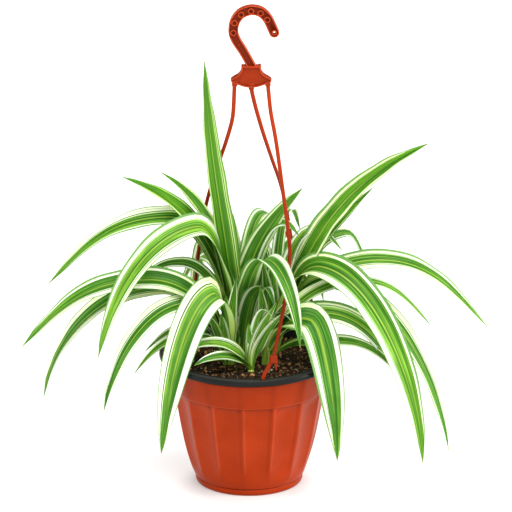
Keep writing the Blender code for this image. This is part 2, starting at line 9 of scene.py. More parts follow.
import bmesh
import bpy
from bpy.props import FloatProperty, FloatVectorProperty, IntProperty, PointerProperty
from mathutils import Euler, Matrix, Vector, noise


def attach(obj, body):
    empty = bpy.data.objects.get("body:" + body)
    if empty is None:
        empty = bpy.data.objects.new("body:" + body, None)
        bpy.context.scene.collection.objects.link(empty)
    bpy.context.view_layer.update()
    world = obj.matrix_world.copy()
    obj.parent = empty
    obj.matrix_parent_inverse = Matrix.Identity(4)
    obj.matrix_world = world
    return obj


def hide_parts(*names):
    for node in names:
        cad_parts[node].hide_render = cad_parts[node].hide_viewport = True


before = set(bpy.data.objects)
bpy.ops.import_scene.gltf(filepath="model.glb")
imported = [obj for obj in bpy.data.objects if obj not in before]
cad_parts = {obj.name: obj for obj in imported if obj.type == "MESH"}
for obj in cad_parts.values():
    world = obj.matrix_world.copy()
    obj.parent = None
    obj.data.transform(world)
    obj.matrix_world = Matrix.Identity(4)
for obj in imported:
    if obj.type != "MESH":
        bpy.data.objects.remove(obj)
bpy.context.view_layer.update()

bl_info = {
    "name": "Potted Spider Plant",
    "version": (1, 0, 0),
    "blender": (4, 5, 0),
    "location": "View3D > Sidebar > Spider Plant",
    "description": "Builds a variegated spider plant in a fluted hanging pot with its plastic hanger",
    "category": "Add Mesh",
}

MM = 0.001
UP = Vector((0, 0, 1))
SQUARE = (Vector((1, 0, 0)), Vector((0, 1, 0)), UP)
WHITE = (1.0, 1.0, 1.0)

# A full turn in radians as the seeded shapes use it, and the step that spreads the leaves' own numbers
FULL_TURN = 6.28
GOLDEN = 0.6180339

# Pot shell: ridge radius at each height, as in the frame, with the band's edge and the foot rounded
WALL = [(8.6, 60.3), (20.0, 65.3), (38.0, 70.8), (57.0, 75.3), (80.0, 79.6), (110.8, 84.9)]
WALL_ROWS = 6
BAND = [(112.0, 85.3), (112.5, 86.0), (113.1, 86.4), (114.0, 86.6), (122.0, 88.1), (131.0, 89.7),
        (140.3, 91.4), (140.7, 91.1), (141.2, 91.1), (141.6, 91.6), (148.6, 92.8)]
INSIDE = [(148.6, 90.7), (113.0, 84.1), (110.8, 80.9), (95.0, 78.3), (57.0, 71.4), (20.0, 61.4),
          (5.0, 54.5)]
FOOT = [(20.0, 0.0), (20.8, 0.4), (22.6, 2.6), (23.4, 3.0), (46.6, 3.0), (47.4, 2.6), (49.4, 0.4),
        (50.2, 0.0), (56.6, 0.0), (57.8, 0.4), (58.8, 1.4), (59.4, 2.8), (59.5, 6.2), (59.2, 7.3),
        (58.6, 7.9), (58.7, 8.3)]
FLUTES = 15
FLUTE_PHASE = -4.0
BAND_FLUTE_DEPTH = 0.6
FLUTE_START = 10.0
FLUTE_FULL = 34.0
RIDGE_SHARE = 0.03
FLANK = 0.85
POT_STEPS = FLUTES * 24
DRAIN_COUNT = 8
DRAIN_RADIUS = 1.75
DRAIN_RING = 35.0
DRILL_SIDES = 24
DRILL_REACH = (-1.0, 9.0)

# Pot rim: inner skirt, bead, ledge and turned-down lip
RIM_SECTION = [(82.5, 114.2), (89.2, 149.0), (89.6, 150.2), (90.3, 150.85), (91.3, 150.95), (92.0, 150.5),
               (92.7, 150.1), (93.6, 150.2), (94.3, 150.6), (94.9, 150.2), (95.5, 150.2), (96.1, 150.65),
               (96.8, 150.25), (97.5, 150.3), (98.1, 150.45), (98.6, 150.1), (99.0, 149.5),
               (99.5, 148.4), (99.7, 147.0), (99.55, 145.5), (99.1, 144.4), (98.3, 143.8), (97.5, 143.85),
               (97.0, 144.5), (97.5, 146.0), (97.7, 147.4), (97.0, 148.6), (95.9, 149.0), (90.4, 149.0),
               (90.0, 147.4), (83.75, 114.2)]
RIM_STEPS = 300
SLOT_RADIUS = 94.4
SLOT_HEIGHT = 149.6
SLOT_TURN = -7.6
PRONG_WIDE = 4.4
PRONG_THICK = 1.8

# Soil
SOIL_SIDE = [(5.4, 53.9), (20.0, 60.9), (57.0, 70.9), (95.0, 77.8), (110.6, 80.3), (114.6, 81.9),
             (136.0, 86.2)]
SOIL_TOP = 140.0
SOIL_RINGS = 56
SOIL_STEPS = 220
SOIL_OUTER = 86.5
BIT_REACH = 83.0
CROWN_CLEAR = 8.0
SCATTER_HALF = 84
FIBRE_REACH = 81.0
FIBRE_STEPS = 8
FIBRE_SEED = 29

# Crowns and leaves, as in the frame: crown places, then name, crown, heading, rise, crest, tip, angle at
# the tip, width, turn of the blade by mid length and at the tip. A leaf with no crest only ascends.
CROWNS = {"left": (-22, -16), "middle": (-10, 24), "front": (2, -38), "right": (18, -14), "back": (26, 26)}
LEAVES = [
    ("far_left_high", "middle", -88, 80, (78, 300), (213, 222), 48, 31, 38, 32),
    ("white_arch", "middle", -62, 82, (55, 297), (177, 164), 78, 36, 36, 42),
    ("low_left_long", "left", -86, 78, (90, 242), (230, 166), 48, 34, 36, 28),
    ("low_left_droop", "left", -93, 78, (71, 230), (206, 95), 82, 33, 34, 28),
    ("tucked_left", "middle", -95, 78, (66, 243), (118, 212), 45, 21, 32, 22),
    ("left_hang", "left", -70, 80, (52, 219), (147, 104), 80, 26, 32, 34),
    ("front_left_hang", "left", -46, 84, (24, 230), (104, 62), 84, 43, 42, 46),
    ("small_left_a", "left", -76, 75, (42, 179), (108, 139), 50, 15, 30, 24),
    ("small_left_b", "left", -86, 75, (42, 185), (94, 157), 45, 16, 25, 22),
    ("rim_left_a", "front", -76, 60, (50, 178), (76, 168), 35, 18, 34, 34),
    ("rim_left_b", "front", -60, 55, (46, 165), (72, 160), 25, 16, 34, 34),
    ("fold_over", "middle", 26, 84, (81, 273), (151, 195), 85, 30, -4, -24),
    ("centre_dark", "middle", 34, 84, (52, 231), (68, 214), 60, 27, 30, 10),
    ("front_short", "front", 48, 84, (22, 217), (36, 205), 45, 17, 38, 30),
    ("front_low", "right", 80, 75, (32, 184), (50, 172), 35, 15, -20, -10),
    ("right_long", "right", 92, 76, (104, 237), (184, 182), 50, 20, -34, -32),
    ("right_far", "back", 95, 76, (113, 244), (240, 161), 48, 28, -42, -32),
    ("right_big", "back", 60, 80, (63, 251), (192, 43), 86, 40, -36, -46),
    ("right_behind", "back", 74, 80, (66, 229), (203, 44), 82, 26, -34, -32),
    ("right_mid", "right", 80, 76, (69, 204), (158, 124), 60, 33, -32, -26),
    ("right_low", "right", 75, 74, (92, 175), (156, 138), 50, 18, -32, -24),
    ("front_right_hang", "right", 52, 80, (62, 206), (101, 49), 88, 41, -46, -50),
    ("curled", "right", 70, 80, (52, 213), (89, 124), 100, 15, -15, -10),
    ("back_right_a", "back", 110, 80, (85, 270), (114, 225), 60, 24, -38, -34),
    ("back_right_b", "back", 98, 86, (44, 281), (78, 255), 50, 20, -45, -40),
    ("back_centre", "middle", 82, 90, (48, 295), (66, 280), 50, 27, -58, -50),
    ("back_top", "back", 165, 86, (58, 284), (120, 241), 50, 16, -10, 0),
    ("back_arch", "middle", 152, 86, (50, 286), (122, 212), 52, 22, -20, 12),
    ("back_left_a", "middle", -163, 82, (70, 255), (190, 112), 75, 26, 10, 0),
    ("back_left_b", "middle", -146, 80, (60, 232), (130, 158), 60, 21, 14, 10),
    ("back_right_c", "back", 160, 80, (66, 245), (168, 140), 65, 24, -14, 0),
    ("back_right_d", "back", 180, 82, (72, 226), (205, 95), 78, 27, 0, 0),
    ("back_right_e", "back", 196, 82, (58, 242), (180, 125), 75, 25, 8, 0),
    ("small_left_c", "left", -62, 72, (34, 178), (56, 166), 45, 14, 20, 20),
    ("small_left_d", "left", -100, 74, (40, 190), (70, 172), 45, 15, 20, 20),
    ("centre_fill_c", "right", 60, 82, (20, 204), (44, 182), 60, 17, 20, 10),
    ("tall", "middle", -60, 84, None, (45, 490), 87, 26, -42, -44),
    ("up_left_a", "middle", -88, 77, None, (88, 353), 33, 23, 48, 42),
    ("up_left_b", "middle", -84, 83, None, (131, 351), 20, 28, 42, 38),
    ("up_right_short", "middle", 76, 91, None, (71, 339), 47, 32, 68, 70),
    ("up_right_tall", "back", 84, 74, None, (173, 391), 27, 34, -50, -46),
    ("up_right_b", "back", 98, 82, None, (113, 328), 43, 23, -42, -38),
    ("front_right_up", "right", 62, 76, None, (34, 226), 50, 17, 40, 40),
    ("behind_fold", "back", -8, 86, None, (12, 256), 80, 20, 0, 0),
    ("centre_back", "middle", 75, 82, None, (32, 252), 66, 21, 60, 60),
    ("back_mid", "middle", 189, 86, None, (51, 285), 60, 22, 0, 0),
    ("centre_fill_a", "back", -35, 84, None, (18, 250), 76, 19, -30, -30),
    ("centre_fill_b", "right", -25, 82, None, (14, 236), 72, 18, -25, -20),
    ("middle_fill", "middle", -40, 86, None, (16, 240), 80, 19, -35, -35),
    ("left_fill", "left", -35, 84, None, (16, 205), 74, 17, -30, -30),
    ("left_up_a", "left", -15, 84, None, (14, 225), 72, 16, -10, -10),
    ("left_up_b", "left", 150, 84, None, (16, 236), 70, 16, -20, -20),
    ("left_up_c", "left", -60, 80, None, (40, 214), 40, 15, -30, -30),
    ("front_up", "front", -20, 84, None, (8, 200), 78, 13, -15, -15),
    ("front_up_b", "front", 62, 80, None, (32, 226), 60, 17, 42, 42),
    ("front_up_c", "front", 75, 80, None, (39, 214), 50, 17, 50, 50),
    ("right_up", "right", -10, 84, None, (14, 216), 66, 16, -8, -8),
]
ROOT_HEIGHT = 143.0
ROOT_FOOT = 135.0
ROOT_STEP = 1.3
ROOT_REACH_LIMIT = 6.5
SAME_SIDE = 50.0
ROOT_PULL = 0.55
CREST_PULL = 0.50
TIP_PULL = 0.40
CURVE_STEPS = 40
ACROSS = (-1.0, -0.88, -0.68, -0.46, -0.23, 0.0, 0.23, 0.46, 0.68, 0.88, 1.0)
LANES = len(ACROSS)
ROW_LENGTH = 5.5
CROWN_STEPS = 36
CROWN_ROWS = 12
CROWN_TALL = 9.5
LEAF_LAYERS = ("across", "along", "seed", "under", "fresh")

# Hanger, as in the frame
SHANK_FOOT = 483.4
HOOK_LINE = [(2.1, 486.0), (-6.5, 502.0), (-14.1, 514.5), (-17.2, 524.5), (-15.4, 536.5), (-8.4, 545.7),
             (2.3, 549.6), (12.6, 547.5), (20.6, 539.5), (27.8, 523.6)]
HOOK_WIDE = 11.0
SHANK_WIDE = 9.6
HOOK_THICK = 6.6
HOOK_RINGS = [(-17.2, 523.6), (-16.0, 535.0), (-8.7, 544.6), (2.2, 548.6), (12.6, 546.4), (20.0, 538.8)]
PLATE_CENTRE = 2.4
PLATE_HALF = [(0.0, 484.6), (10.2, 484.6), (10.4, 483.2), (10.9, 480.5), (12.2, 477.6), (14.8, 474.6),
              (19.0, 472.0), (22.0, 469.8), (22.4, 468.0), (20.8, 466.0), (15.5, 463.8), (7.6, 461.0),
              (0.0, 459.9)]
PLATE_THICK = 8.4
PLATE_WEB = 4.4
PLATE_RIB_WIDE = 1.9
PLATE_BOSSES = [(-10.4, 469.6, 1.9, 0.8, 5.6), (10.8, 470.2, 1.9, 0.8, 5.6), (0.6, 470.6, 1.3, 0.3, 5.4)]
LIP_HEIGHT = 484.2
TIP_HOLE = 1.5
TIP_SIDES = 16
BOSS_SIDES = 28
BOSS_EASE = 0.3
BAR_SIDES = 14
BAR_POWER = 0.55
RIB_EASE_SHARE = 0.32
RIB_EASE_MOST = 0.6
STRANDS = {
    "front": [(20.8, 0, 468), (21, 0, 461), (21.7, -2, 453), (24, -8, 433), (30, -15, 400), (37, -27, 350),
              (43, -35, 305), (45, -40, 277), (41, -57, 240), (35, -71, 210), (27, -87, 175)],
    "right": [(2.6, 0, 464), (2.8, 0, 458), (3.8, 1, 451), (8, 4, 432), (15, 9, 405), (25, 18, 370),
              (35, 29, 335), (42, 45, 296), (49, 52, 254), (62, 56, 215), (74, 58, 168)],
    "left": [(-15.8, 0, 468), (-16, 0, 461), (-16.3, 2, 452), (-18, 8, 422), (-24, 16, 395), (-31, 24, 370),
             (-43, 34, 328), (-50, 42, 294), (-56, 52, 248), (-60, 58, 205), (-66, 66, 168)],
}
STRAND_WIDE = 4.7
STRAND_THICK = 3.2
BARB_HEIGHT = 300.0
CLIP_WIDE = 8.6
CLIP_THICK = 4.4
CLIP_TALL = 9.0
PRONG_TOE = 145.4
SHORT_PRONG = 14.0

# Stage: the camera's line of sight, from the photograph's framing
VIEW_POINT = (7.7, 0.0, 261.8)
PIXEL = 1.105
IMAGE_SIDE = 512
SENSOR = 36.0
FLOOR_HALF = 30000.0
# Centre of the painted contact shadow on the floor, a little in front of the pot
SHADE_CENTRE = (0.0, -0.034, 0.0)
SKY_SIDE = (0.72, -0.25, 0.65)

# Fixed colours
DUST_COLOUR = (0.060, 0.036, 0.022)
EARTHY_FOOT = (0.16, 0.10, 0.045)
MINERAL_GREY = (0.30, 0.27, 0.23)


# Plain helpers

def smooth(t):
    """Ease from 0 to 1."""
    t = min(max(t, 0.0), 1.0)
    return t * t * (3.0 - 2.0 * t)


def between(pair, share):
    return pair[0] + (pair[1] - pair[0]) * share


def polar(radius, degrees, height):
    """A point round the pot's axis."""
    angle = math.radians(degrees)
    return Vector((radius * math.sin(angle), -radius * math.cos(angle), height))


def turned_ring(radius, height, steps, start=0.0):
    return [polar(radius, start + 360.0 * i / steps, height) for i in range(steps)]


def facing(degrees):
    """Directions across, outward and up for a thing that faces away from the pot's axis."""
    return polar(1.0, degrees + 90.0, 0.0), polar(1.0, degrees, 0.0), UP


def direction(line, i):
    """The way a line runs at one of its points."""
    return (line[min(i + 1, len(line) - 1)] - line[max(i - 1, 0)]).normalized()


def new_object(name, data):
    item = bpy.data.objects.new(name, data)
    bpy.context.scene.collection.objects.link(item)
    return item


def mesh_piece(name, points, faces, surface, sharp=35.0):
    """A mesh object from points in millimetres, its faces turned outward and smoothly shaded."""
    mesh = bpy.data.meshes.new(name)
    mesh.from_pydata([Vector(p) * MM for p in points], [], faces)
    shape = bmesh.new()
    shape.from_mesh(mesh)
    bmesh.ops.recalc_face_normals(shape, faces=shape.faces)
    shape.to_mesh(mesh)
    shape.free()
    mesh.materials.append(surface)
    mesh.shade_smooth()
    mesh.set_sharp_from_angle(angle=math.radians(sharp))
    return new_object(name, mesh)


def seat(piece, slot, *nodes):
    """Let a piece ride on the frame and stand for its nodes; the slot is not used."""
    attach(piece, "root")
    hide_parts(*nodes)


def ring_faces(first, second, count):
    return [(first + i, first + (i + 1) % count, second + (i + 1) % count, second + i) for i in range(count)]


def skin(rings, joined=False, capped=False):
    """Points and faces over rings of points: the last may meet the first, or both ends may be closed."""
    size, count = len(rings[0]), len(rings)
    faces = []
    for i in range(count if joined else count - 1):
        faces += ring_faces(i * size, (i + 1) % count * size, size)
    if capped:
        faces += [tuple(range(size))[::-1], tuple(range((count - 1) * size, count * size))]
    return [p for ring in rings for p in ring], faces


def point_values(piece, **layers):
    """Store numbers for each point, for the material to read."""
    for name, values in layers.items():
        layer = piece.data.attributes.new(name, "FLOAT", "POINT")
        layer.data.foreach_set("value", values)


def relief(piece, values=None, level=0.5):
    """Store a shade-and-wear level for each point, from 0 in a recess to 1 on a rib's face: low values paint
    shade, high values a worn tone that is also a painted highlight.
    """
    point_values(piece, relief=values or [level] * len(piece.data.vertices))
    return piece


def apply_step(piece, kind, **settings):
    """Add a modifier and apply it at once."""
    step = piece.modifiers.new(kind.lower(), kind)
    for key, value in settings.items():
        setattr(step, key, value)
    bpy.context.view_layer.update()
    depsgraph = bpy.context.evaluated_depsgraph_get()
    mesh = bpy.data.meshes.new_from_object(piece.evaluated_get(depsgraph), preserve_all_data_layers=True,
                                           depsgraph=depsgraph)
    mesh.name = piece.name
    piece.modifiers.remove(step)
    piece.data = mesh


def cut(piece, tools):
    """Cut a piece with several solids and remove them."""
    group = bpy.data.collections.new("cutters")
    bpy.context.scene.collection.children.link(group)
    for tool in tools:
        bpy.context.scene.collection.objects.unlink(tool)
        group.objects.link(tool)
    apply_step(piece, "BOOLEAN", operation="DIFFERENCE", operand_type="COLLECTION", collection=group)
    for tool in tools:
        bpy.data.objects.remove(tool, do_unlink=True)
    bpy.data.collections.remove(group)


def fuse(name, pieces):
    """Join several meshes into one object."""
    shape = bmesh.new()
    for piece in pieces:
        shape.from_mesh(piece.data)
    mesh = bpy.data.meshes.new(name)
    shape.to_mesh(mesh)
    shape.free()
    mesh.materials.append(pieces[0].data.materials[0])
    for piece in pieces:
        bpy.data.objects.remove(piece, do_unlink=True)
    return new_object(name, mesh)


def curve_through(route, steps):
    """A smooth line through given points."""
    pts = [Vector(p) for p in route]
    ends = [pts[0] * 2 - pts[1]] + pts + [pts[-1] * 2 - pts[-2]]
    out = []
    for i in range(1, len(ends) - 2):
        a, b, c, d = ends[i - 1:i + 3]
        for j in range(steps):
            t = j / steps
            out.append(0.5 * ((2 * b) + (c - a) * t + (2 * a - 5 * b + 4 * c - d) * t * t
                              + (3 * b - a - 3 * c + d) * t**3))
    return out + [pts[-1]]


# Materials

class Value:
    """A node's output that adds, scales and compares like a number, with a math node for each step."""

    def __init__(self, wiring, socket):
        self.wiring = wiring
        self.socket = socket

    def __add__(self, other):
        return self.wiring.math("ADD", self, other)

    def __sub__(self, other):
        return self.wiring.math("SUBTRACT", self, other)

    def __rsub__(self, other):
        return self.wiring.math("SUBTRACT", other, self)

    def __mul__(self, other):
        return self.wiring.math("MULTIPLY", self, other)

    def __truediv__(self, other):
        return self.wiring.math("DIVIDE", self, other)

    def __gt__(self, other):
        return self.wiring.math("GREATER_THAN", self, other)

    def __abs__(self):
        return self.wiring.math("ABSOLUTE", self)


class Wiring:
    """Short hands for building a node tree."""

    def __init__(self, tree):
        self.tree = tree
        self.count = 0

    def add(self, kind, plugs=(), **settings):
        """A node with its settings, and what goes into its sockets by order or by name."""
        item = self.tree.nodes.new(kind)
        item.location = (220 * (self.count % 8), -260 * (self.count // 8))
        self.count += 1
        for key, value in settings.items():
            setattr(item, key, value)
        for key, value in plugs.items() if isinstance(plugs, dict) else enumerate(plugs):
            self.plug(item.inputs[key], value)
        return item

    def plug(self, socket, value):
        if isinstance(value, Value):
            self.tree.links.new(value.socket, socket)
        elif hasattr(value, "__len__") and len(value) == 3 and socket.type == "RGBA":
            socket.default_value = (*value, 1.0)
        else:
            socket.default_value = value

    def read(self, kind, plugs=(), output=0, **settings):
        return Value(self, self.add(kind, plugs, **settings).outputs[output])

    def read_all(self, item):
        return {socket.name: Value(self, socket) for socket in item.outputs}

    def math(self, operation, a, b=0.0, clamp=False):
        return self.read("ShaderNodeMath", (a, b), operation=operation, use_clamp=clamp)

    def ease(self, value, low, high, start=0.0, end=1.0):
        return self.read("ShaderNodeMapRange", (value, low, high, start, end),
                         interpolation_type="SMOOTHSTEP")

    def blend(self, share, a, b):
        return self.read("ShaderNodeMix", {"Factor": share, 6: a, 7: b}, 2, data_type="RGBA")

    def vector(self, x, y, z):
        return self.read("ShaderNodeCombineXYZ", (x, y, z))

    def place(self):
        return self.read("ShaderNodeTexCoord", output="Object")

    def noise(self, vector, scale, detail=3.0, roughness=0.55):
        return self.read("ShaderNodeTexNoise", {"Vector": vector, "Scale": scale, "Detail": detail,
                                                "Roughness": roughness}, "Fac")

    def stored(self, name):
        return self.read("ShaderNodeAttribute", output="Fac", attribute_name=name)

    def group(self, name, **values):
        item = self.add("ShaderNodeGroup", node_tree=bpy.data.node_groups[name])
        for key, value in values.items():
            self.plug(item.inputs[key.replace("_", " ")], value)
        return self.read_all(item)

    def bump(self, height, strength, distance):
        return self.read("ShaderNodeBump", {"Height": height, "Strength": strength, "Distance": distance})

    def dress(self, **looks):
        """Set values of the material's own shader, or plug nodes into it."""
        for key, value in looks.items():
            self.plug(self.tree.nodes["Principled BSDF"].inputs[key.replace("_", " ")], value)


def shader_group(name, build, **inputs):
    """A shader node group: build gets its inputs and gives its outputs."""
    tree = bpy.data.node_groups.new(name, "ShaderNodeTree")

    def new_socket(label, way):
        return tree.interface.new_socket(label, in_out=way, socket_type="NodeSocketFloat")

    for label, default in inputs.items():
        new_socket(label.replace("_", " "), "INPUT").default_value = default
    w = Wiring(tree)
    made = build(w, w.read_all(w.add("NodeGroupInput")))
    for label in made:
        new_socket(label, "OUTPUT")
    w.add("NodeGroupOutput", made)


def moulding(w, given):
    """Moulded plastic: fine grain, cloudy mottling and drag lines down the draw direction."""
    place = w.place()
    stretched = w.read("ShaderNodeMapping", {"Vector": place, "Scale": (1.0, 1.0, 0.04)})
    drag = w.noise(stretched, 380.0, 3.0, 0.7)
    return {"Height": w.noise(place, given["Grain Scale"], 2.0) + drag * 0.5,
            "Mottle": w.noise(place, given["Mottle Scale"], 4.0), "Drag": drag}


def settled_dust(w, given):
    """Settled potting dust: more on faces that look up, broken into specks."""
    place = w.place()
    normal = w.read("ShaderNodeNewGeometry", output="Normal")
    upward = w.ease(w.read("ShaderNodeSeparateXYZ", (normal,), "Z"), 0.1, 0.9, 0.25, 1.0)
    cloud = w.ease(w.noise(place, 40.0), 0.42, 0.68)
    speck = w.ease(w.noise(place, given["Speck Scale"], 2.0), 0.55, 0.68)
    both = w.math("MAXIMUM", cloud * 0.45, speck)
    return {"Mask": w.math("MULTIPLY", both * upward, given["Amount"], True)}


def leaf_streaks(w, given):
    """Veins and streaks that run the length of a blade."""
    across, along, seed = given["Across"], given["Along"], given["Seed"] * 37.0
    fine = w.noise(w.vector(across * 46.0, along * 3.0, seed), 1.0, 2.0, 0.6)
    return {"Broad": w.noise(w.vector(across * 15.0, along * 1.6, seed), 1.0, 3.0, 0.6), "Fine": fine,
            "Cloud": w.noise(w.vector(across * 1.6, along * 5.0, seed + 50.0), 1.0, 2.0),
            "Height": w.math("SINE", across * (2.0 * math.pi * 17.0)) * 0.35 + fine}


def build_groups():
    """The node groups that the materials share."""
    shader_group("moulded plastic", moulding, Grain_Scale=900.0, Mottle_Scale=25.0)
    shader_group("settled dust", settled_dust, Amount=0.5, Speck_Scale=300.0)
    shader_group("leaf streaks", leaf_streaks, Across=0.5, Along=0.5, Seed=0.0)


def new_surface(name, **looks):
    """A material with its shader's own values set, and the wiring of its nodes."""
    surface = bpy.data.materials.new(name)
    surface.use_nodes = True
    w = Wiring(surface.node_tree)
    w.dress(**looks)
    return surface, w


def plastic_surface(name, colour, wear_and_highlight, roughness, grain, dust):
    """Moulded plastic: mottling, drag lines, painted shade in recesses, worn ribs that are also a painted
    highlight, and settled dust.
    """
    surface, w = new_surface(name, Specular_IOR_Level=0.14)
    mould = w.group("moulded plastic", Grain_Scale=grain)
    pale = [min(1.0, c * 1.06 + 0.002) for c in colour]
    tone = w.blend(w.ease(mould["Mottle"], 0.30, 0.72), [c * 0.93 for c in colour], pale)
    tone = w.blend(w.ease(mould["Drag"], 0.56, 0.78, 0.0, 0.5), tone, pale)
    height = w.stored("relief")
    # Painted shade: low levels darken the tone towards a deep copy of the colour, in recesses, creases and
    # under overhangs
    tone = w.blend(w.ease(height, -0.1, 0.5, 0.62, 0.0), tone, [c * 0.22 for c in colour])
    # High levels, broken by mottling, take the worn tone: partly real wear, partly a painted highlight on
    # ribs and edges
    wear_and_highlight_mask = w.ease(height, 0.6, 1.0, 0.0, 0.6) * w.ease(mould["Mottle"], 0.25, 0.6, 0.6, 1.0)
    tone = w.blend(wear_and_highlight_mask, tone, wear_and_highlight)
    dusty = w.group("settled dust", Amount=dust)["Mask"]
    rough = mould["Mottle"] * 0.22 + (roughness - 0.11)
    w.dress(Base_Color=w.blend(dusty, tone, DUST_COLOUR), Roughness=w.math("ADD", rough, dusty * 0.4, True),
            Normal=w.bump(mould["Height"], 0.12, 0.0002))
    return surface


def leaf_surface(settings):
    """Striped leaf: green centre with a pale midrib, cream margins, a green hairline at each edge."""
    surface, w = new_surface("variegated leaf", Specular_IOR_Level=0.24, Subsurface_Weight=0.5,
                             Subsurface_Scale=0.0012, Subsurface_Radius=(0.8, 1.0, 0.25))
    across, along, seed, under, fresh = [w.stored(name) for name in LEAF_LAYERS]
    streak = w.group("leaf streaks", Across=across, Along=along, Seed=seed)
    broad, fine = streak["Broad"], streak["Fine"]
    side = across > 0.5
    from_middle = abs(across - 0.5)
    from_edge = 0.5 - from_middle

    def half_lot(seed_step, side_step):
        """A number from 0 to 1 that differs between the halves of each blade."""
        return w.math("FRACT", seed * seed_step + side * side_step)

    # Green: dark and mid streaks, bright threads, painted shade in the channel beside the midrib, and darker
    # long patches
    lift = w.math("FRACT", seed * 7.31)
    aged = 1.0 - fresh * 0.7
    green = w.blend(w.ease(lift, 0.20, 1.0, 0.0, 0.60), settings.mid_green, settings.bright_green)
    green = w.blend(fresh * 0.8, green, settings.fresh_green)
    green = w.blend(w.ease(fine, 0.50, 0.62, 0.0, 0.50) * aged, green, settings.bright_green)
    green = w.blend(w.ease(broad, 0.42, 0.56, 0.85, 0.0), green, settings.deep_green)
    green = w.blend(w.ease(broad, 0.58, 0.68, 0.0, 0.55) * aged, green, settings.lime)
    # Painted shade: deep green beside the midrib, in the channel's fold
    green = w.blend(w.ease(from_middle, 0.03, 0.13, 0.30, 0.0), green, settings.deep_green)
    green = w.blend(w.ease(streak["Cloud"], 0.42, 0.62, 0.0, 0.40), green, settings.deep_green)

    # Cream margins of uneven width, yellower low on the blade, that run out at the tip
    young = w.math("POWER", fresh, 2.0)
    reach = (half_lot(5.17, 0.43) * 0.10 + settings.margin_share) * (1.0 - young * 0.4)
    reach = reach * w.ease(along, 0.86, 0.995, 1.0, 0.1)
    inner = from_edge + (broad - 0.5) * 0.035 - reach
    cream = w.blend(w.ease(fine, 0.38, 0.60), settings.cream, settings.white)
    cream = w.blend(young * 0.5, cream, settings.lime)
    cream = w.blend(w.ease(along, 0.10, 0.50, 0.90, 0.0), cream, settings.lime)
    tone = w.blend(w.ease(inner, -0.006, 0.008, 1.0, 0.0), green, cream)

    # Hairlines: green within the cream on some halves, and cream just inside the green
    some = half_lot(3.77, 0.37) > 0.35
    line = w.ease(abs(from_edge - reach * 0.55), 0.004, 0.013, 0.75, 0.0) * some
    tone = w.blend(line, tone, settings.mid_green)
    wide = half_lot(9.71, 0.61) > 0.5
    inside = abs(inner - (wide * 0.025 + 0.035)) / (wide * 0.016 + 0.010)
    tone = w.blend(w.ease(inside, 0.5, 1.1, 0.8, 0.0) * some, tone, cream)

    # Midrib and edges
    rib = w.ease(from_middle, 0.004, 0.045, 1.0, 0.0) * w.ease(along, 0.60, 0.95, 0.50, 0.0)
    tone = w.blend(rib, tone, settings.lime)
    banded = half_lot(6.43, 0.53) > 0.6
    brim = w.ease(from_edge, 0.020, 0.045, 1.0, 0.0) * 0.9
    band = w.ease(from_edge, 0.075, 0.095, 1.0, 0.0) * (banded * 0.85)
    tone = w.blend(w.math("MAXIMUM", brim, band), tone, settings.edge_green)

    # Pale sheath at the root, a duller underside and a dry point
    tone = w.blend(w.ease(along, 0.02, 0.16, 0.6, 0.0), tone, settings.sheath)
    tone = w.blend(under * 0.14, tone, settings.underside)
    tone = w.blend(w.ease(along, 0.982, 1.0, 0.0, 0.8), tone, settings.dry_tip)
    w.dress(Base_Color=tone, Roughness=fine * 0.20 + 0.32 + under * 0.12,
            Normal=w.bump(streak["Height"], 0.35, 0.00025))
    return surface


def crown_surface(settings):
    """The pale, streaked base of a crown."""
    surface, w = new_surface("crown base", Roughness=0.5)
    across, along, seed = [w.stored(name) for name in LEAF_LAYERS[:3]]
    streak = w.group("leaf streaks", Across=across, Along=along, Seed=seed)
    tone = w.blend(w.ease(streak["Broad"], 0.3, 0.7), settings.sheath, settings.lime)
    tone = w.blend(w.ease(streak["Fine"], 0.5, 0.7, 0.0, 0.7), tone, settings.mid_green)
    w.dress(Base_Color=w.blend(w.ease(along, 0.1, 0.5, 0.7, 0.0), tone, EARTHY_FOOT),
            Normal=w.bump(streak["Height"], 0.4, 0.0005))
    return surface


def soil_surface(settings):
    """Damp potting mix: dark clods, brown fibre and grey mineral specks."""
    surface, w = new_surface("potting mix", Specular_IOR_Level=0.3)
    place = w.place()
    clods = w.noise(place, 120.0, 5.0, 0.65)
    fibre = w.noise(place, 520.0, 4.0, 0.7)
    tone = w.blend(w.ease(clods, 0.42, 0.62), settings.soil_dark, settings.soil_brown)
    tone = w.blend(w.ease(fibre, 0.55, 0.72, 0.0, 0.7), tone, settings.soil_fleck)
    tone = w.blend(w.ease(w.noise(place, 900.0, 1.0), 0.70, 0.76, 0.0, 0.6), tone, MINERAL_GREY)
    w.dress(Base_Color=tone, Roughness=w.ease(clods, 0.3, 0.7, 0.70, 1.0),
            Normal=w.bump(clods + fibre, 0.8, 0.0012))
    return surface


def fleck_surface(name, dark, pale, roughness, scale):
    """Bark or mineral bits, each with its own tone."""
    surface, w = new_surface(name, Roughness=roughness, Specular_IOR_Level=0.3)
    grain = w.noise(w.place(), scale, 3.0, 0.6)
    share = w.math("ADD", w.math("POWER", w.stored("tone"), 2.2) * 0.9, grain * 0.25, True)
    w.dress(Base_Color=w.blend(share, dark, pale), Normal=w.bump(grain, 0.6, 0.0005))
    return surface


# Pot

def panel_share(degrees):
    """Where a direction lies within its panel, from 0 to 1."""
    return ((degrees - FLUTE_PHASE) % (360.0 / FLUTES)) * FLUTES / 360.0


def flute_cut(degrees, height, depth):
    """How far the wall lies inside its ridges."""
    share = panel_share(degrees)
    if share < RIDGE_SHARE or share > 1.0 - RIDGE_SHARE:
        return 0.0
    dish = math.sin(math.pi * (share - RIDGE_SHARE) / (1.0 - 2.0 * RIDGE_SHARE))**FLANK
    if height > WALL[-1][0]:
        return BAND_FLUTE_DEPTH * dish
    return depth * dish * smooth((height - FLUTE_START) / (FLUTE_FULL - FLUTE_START))


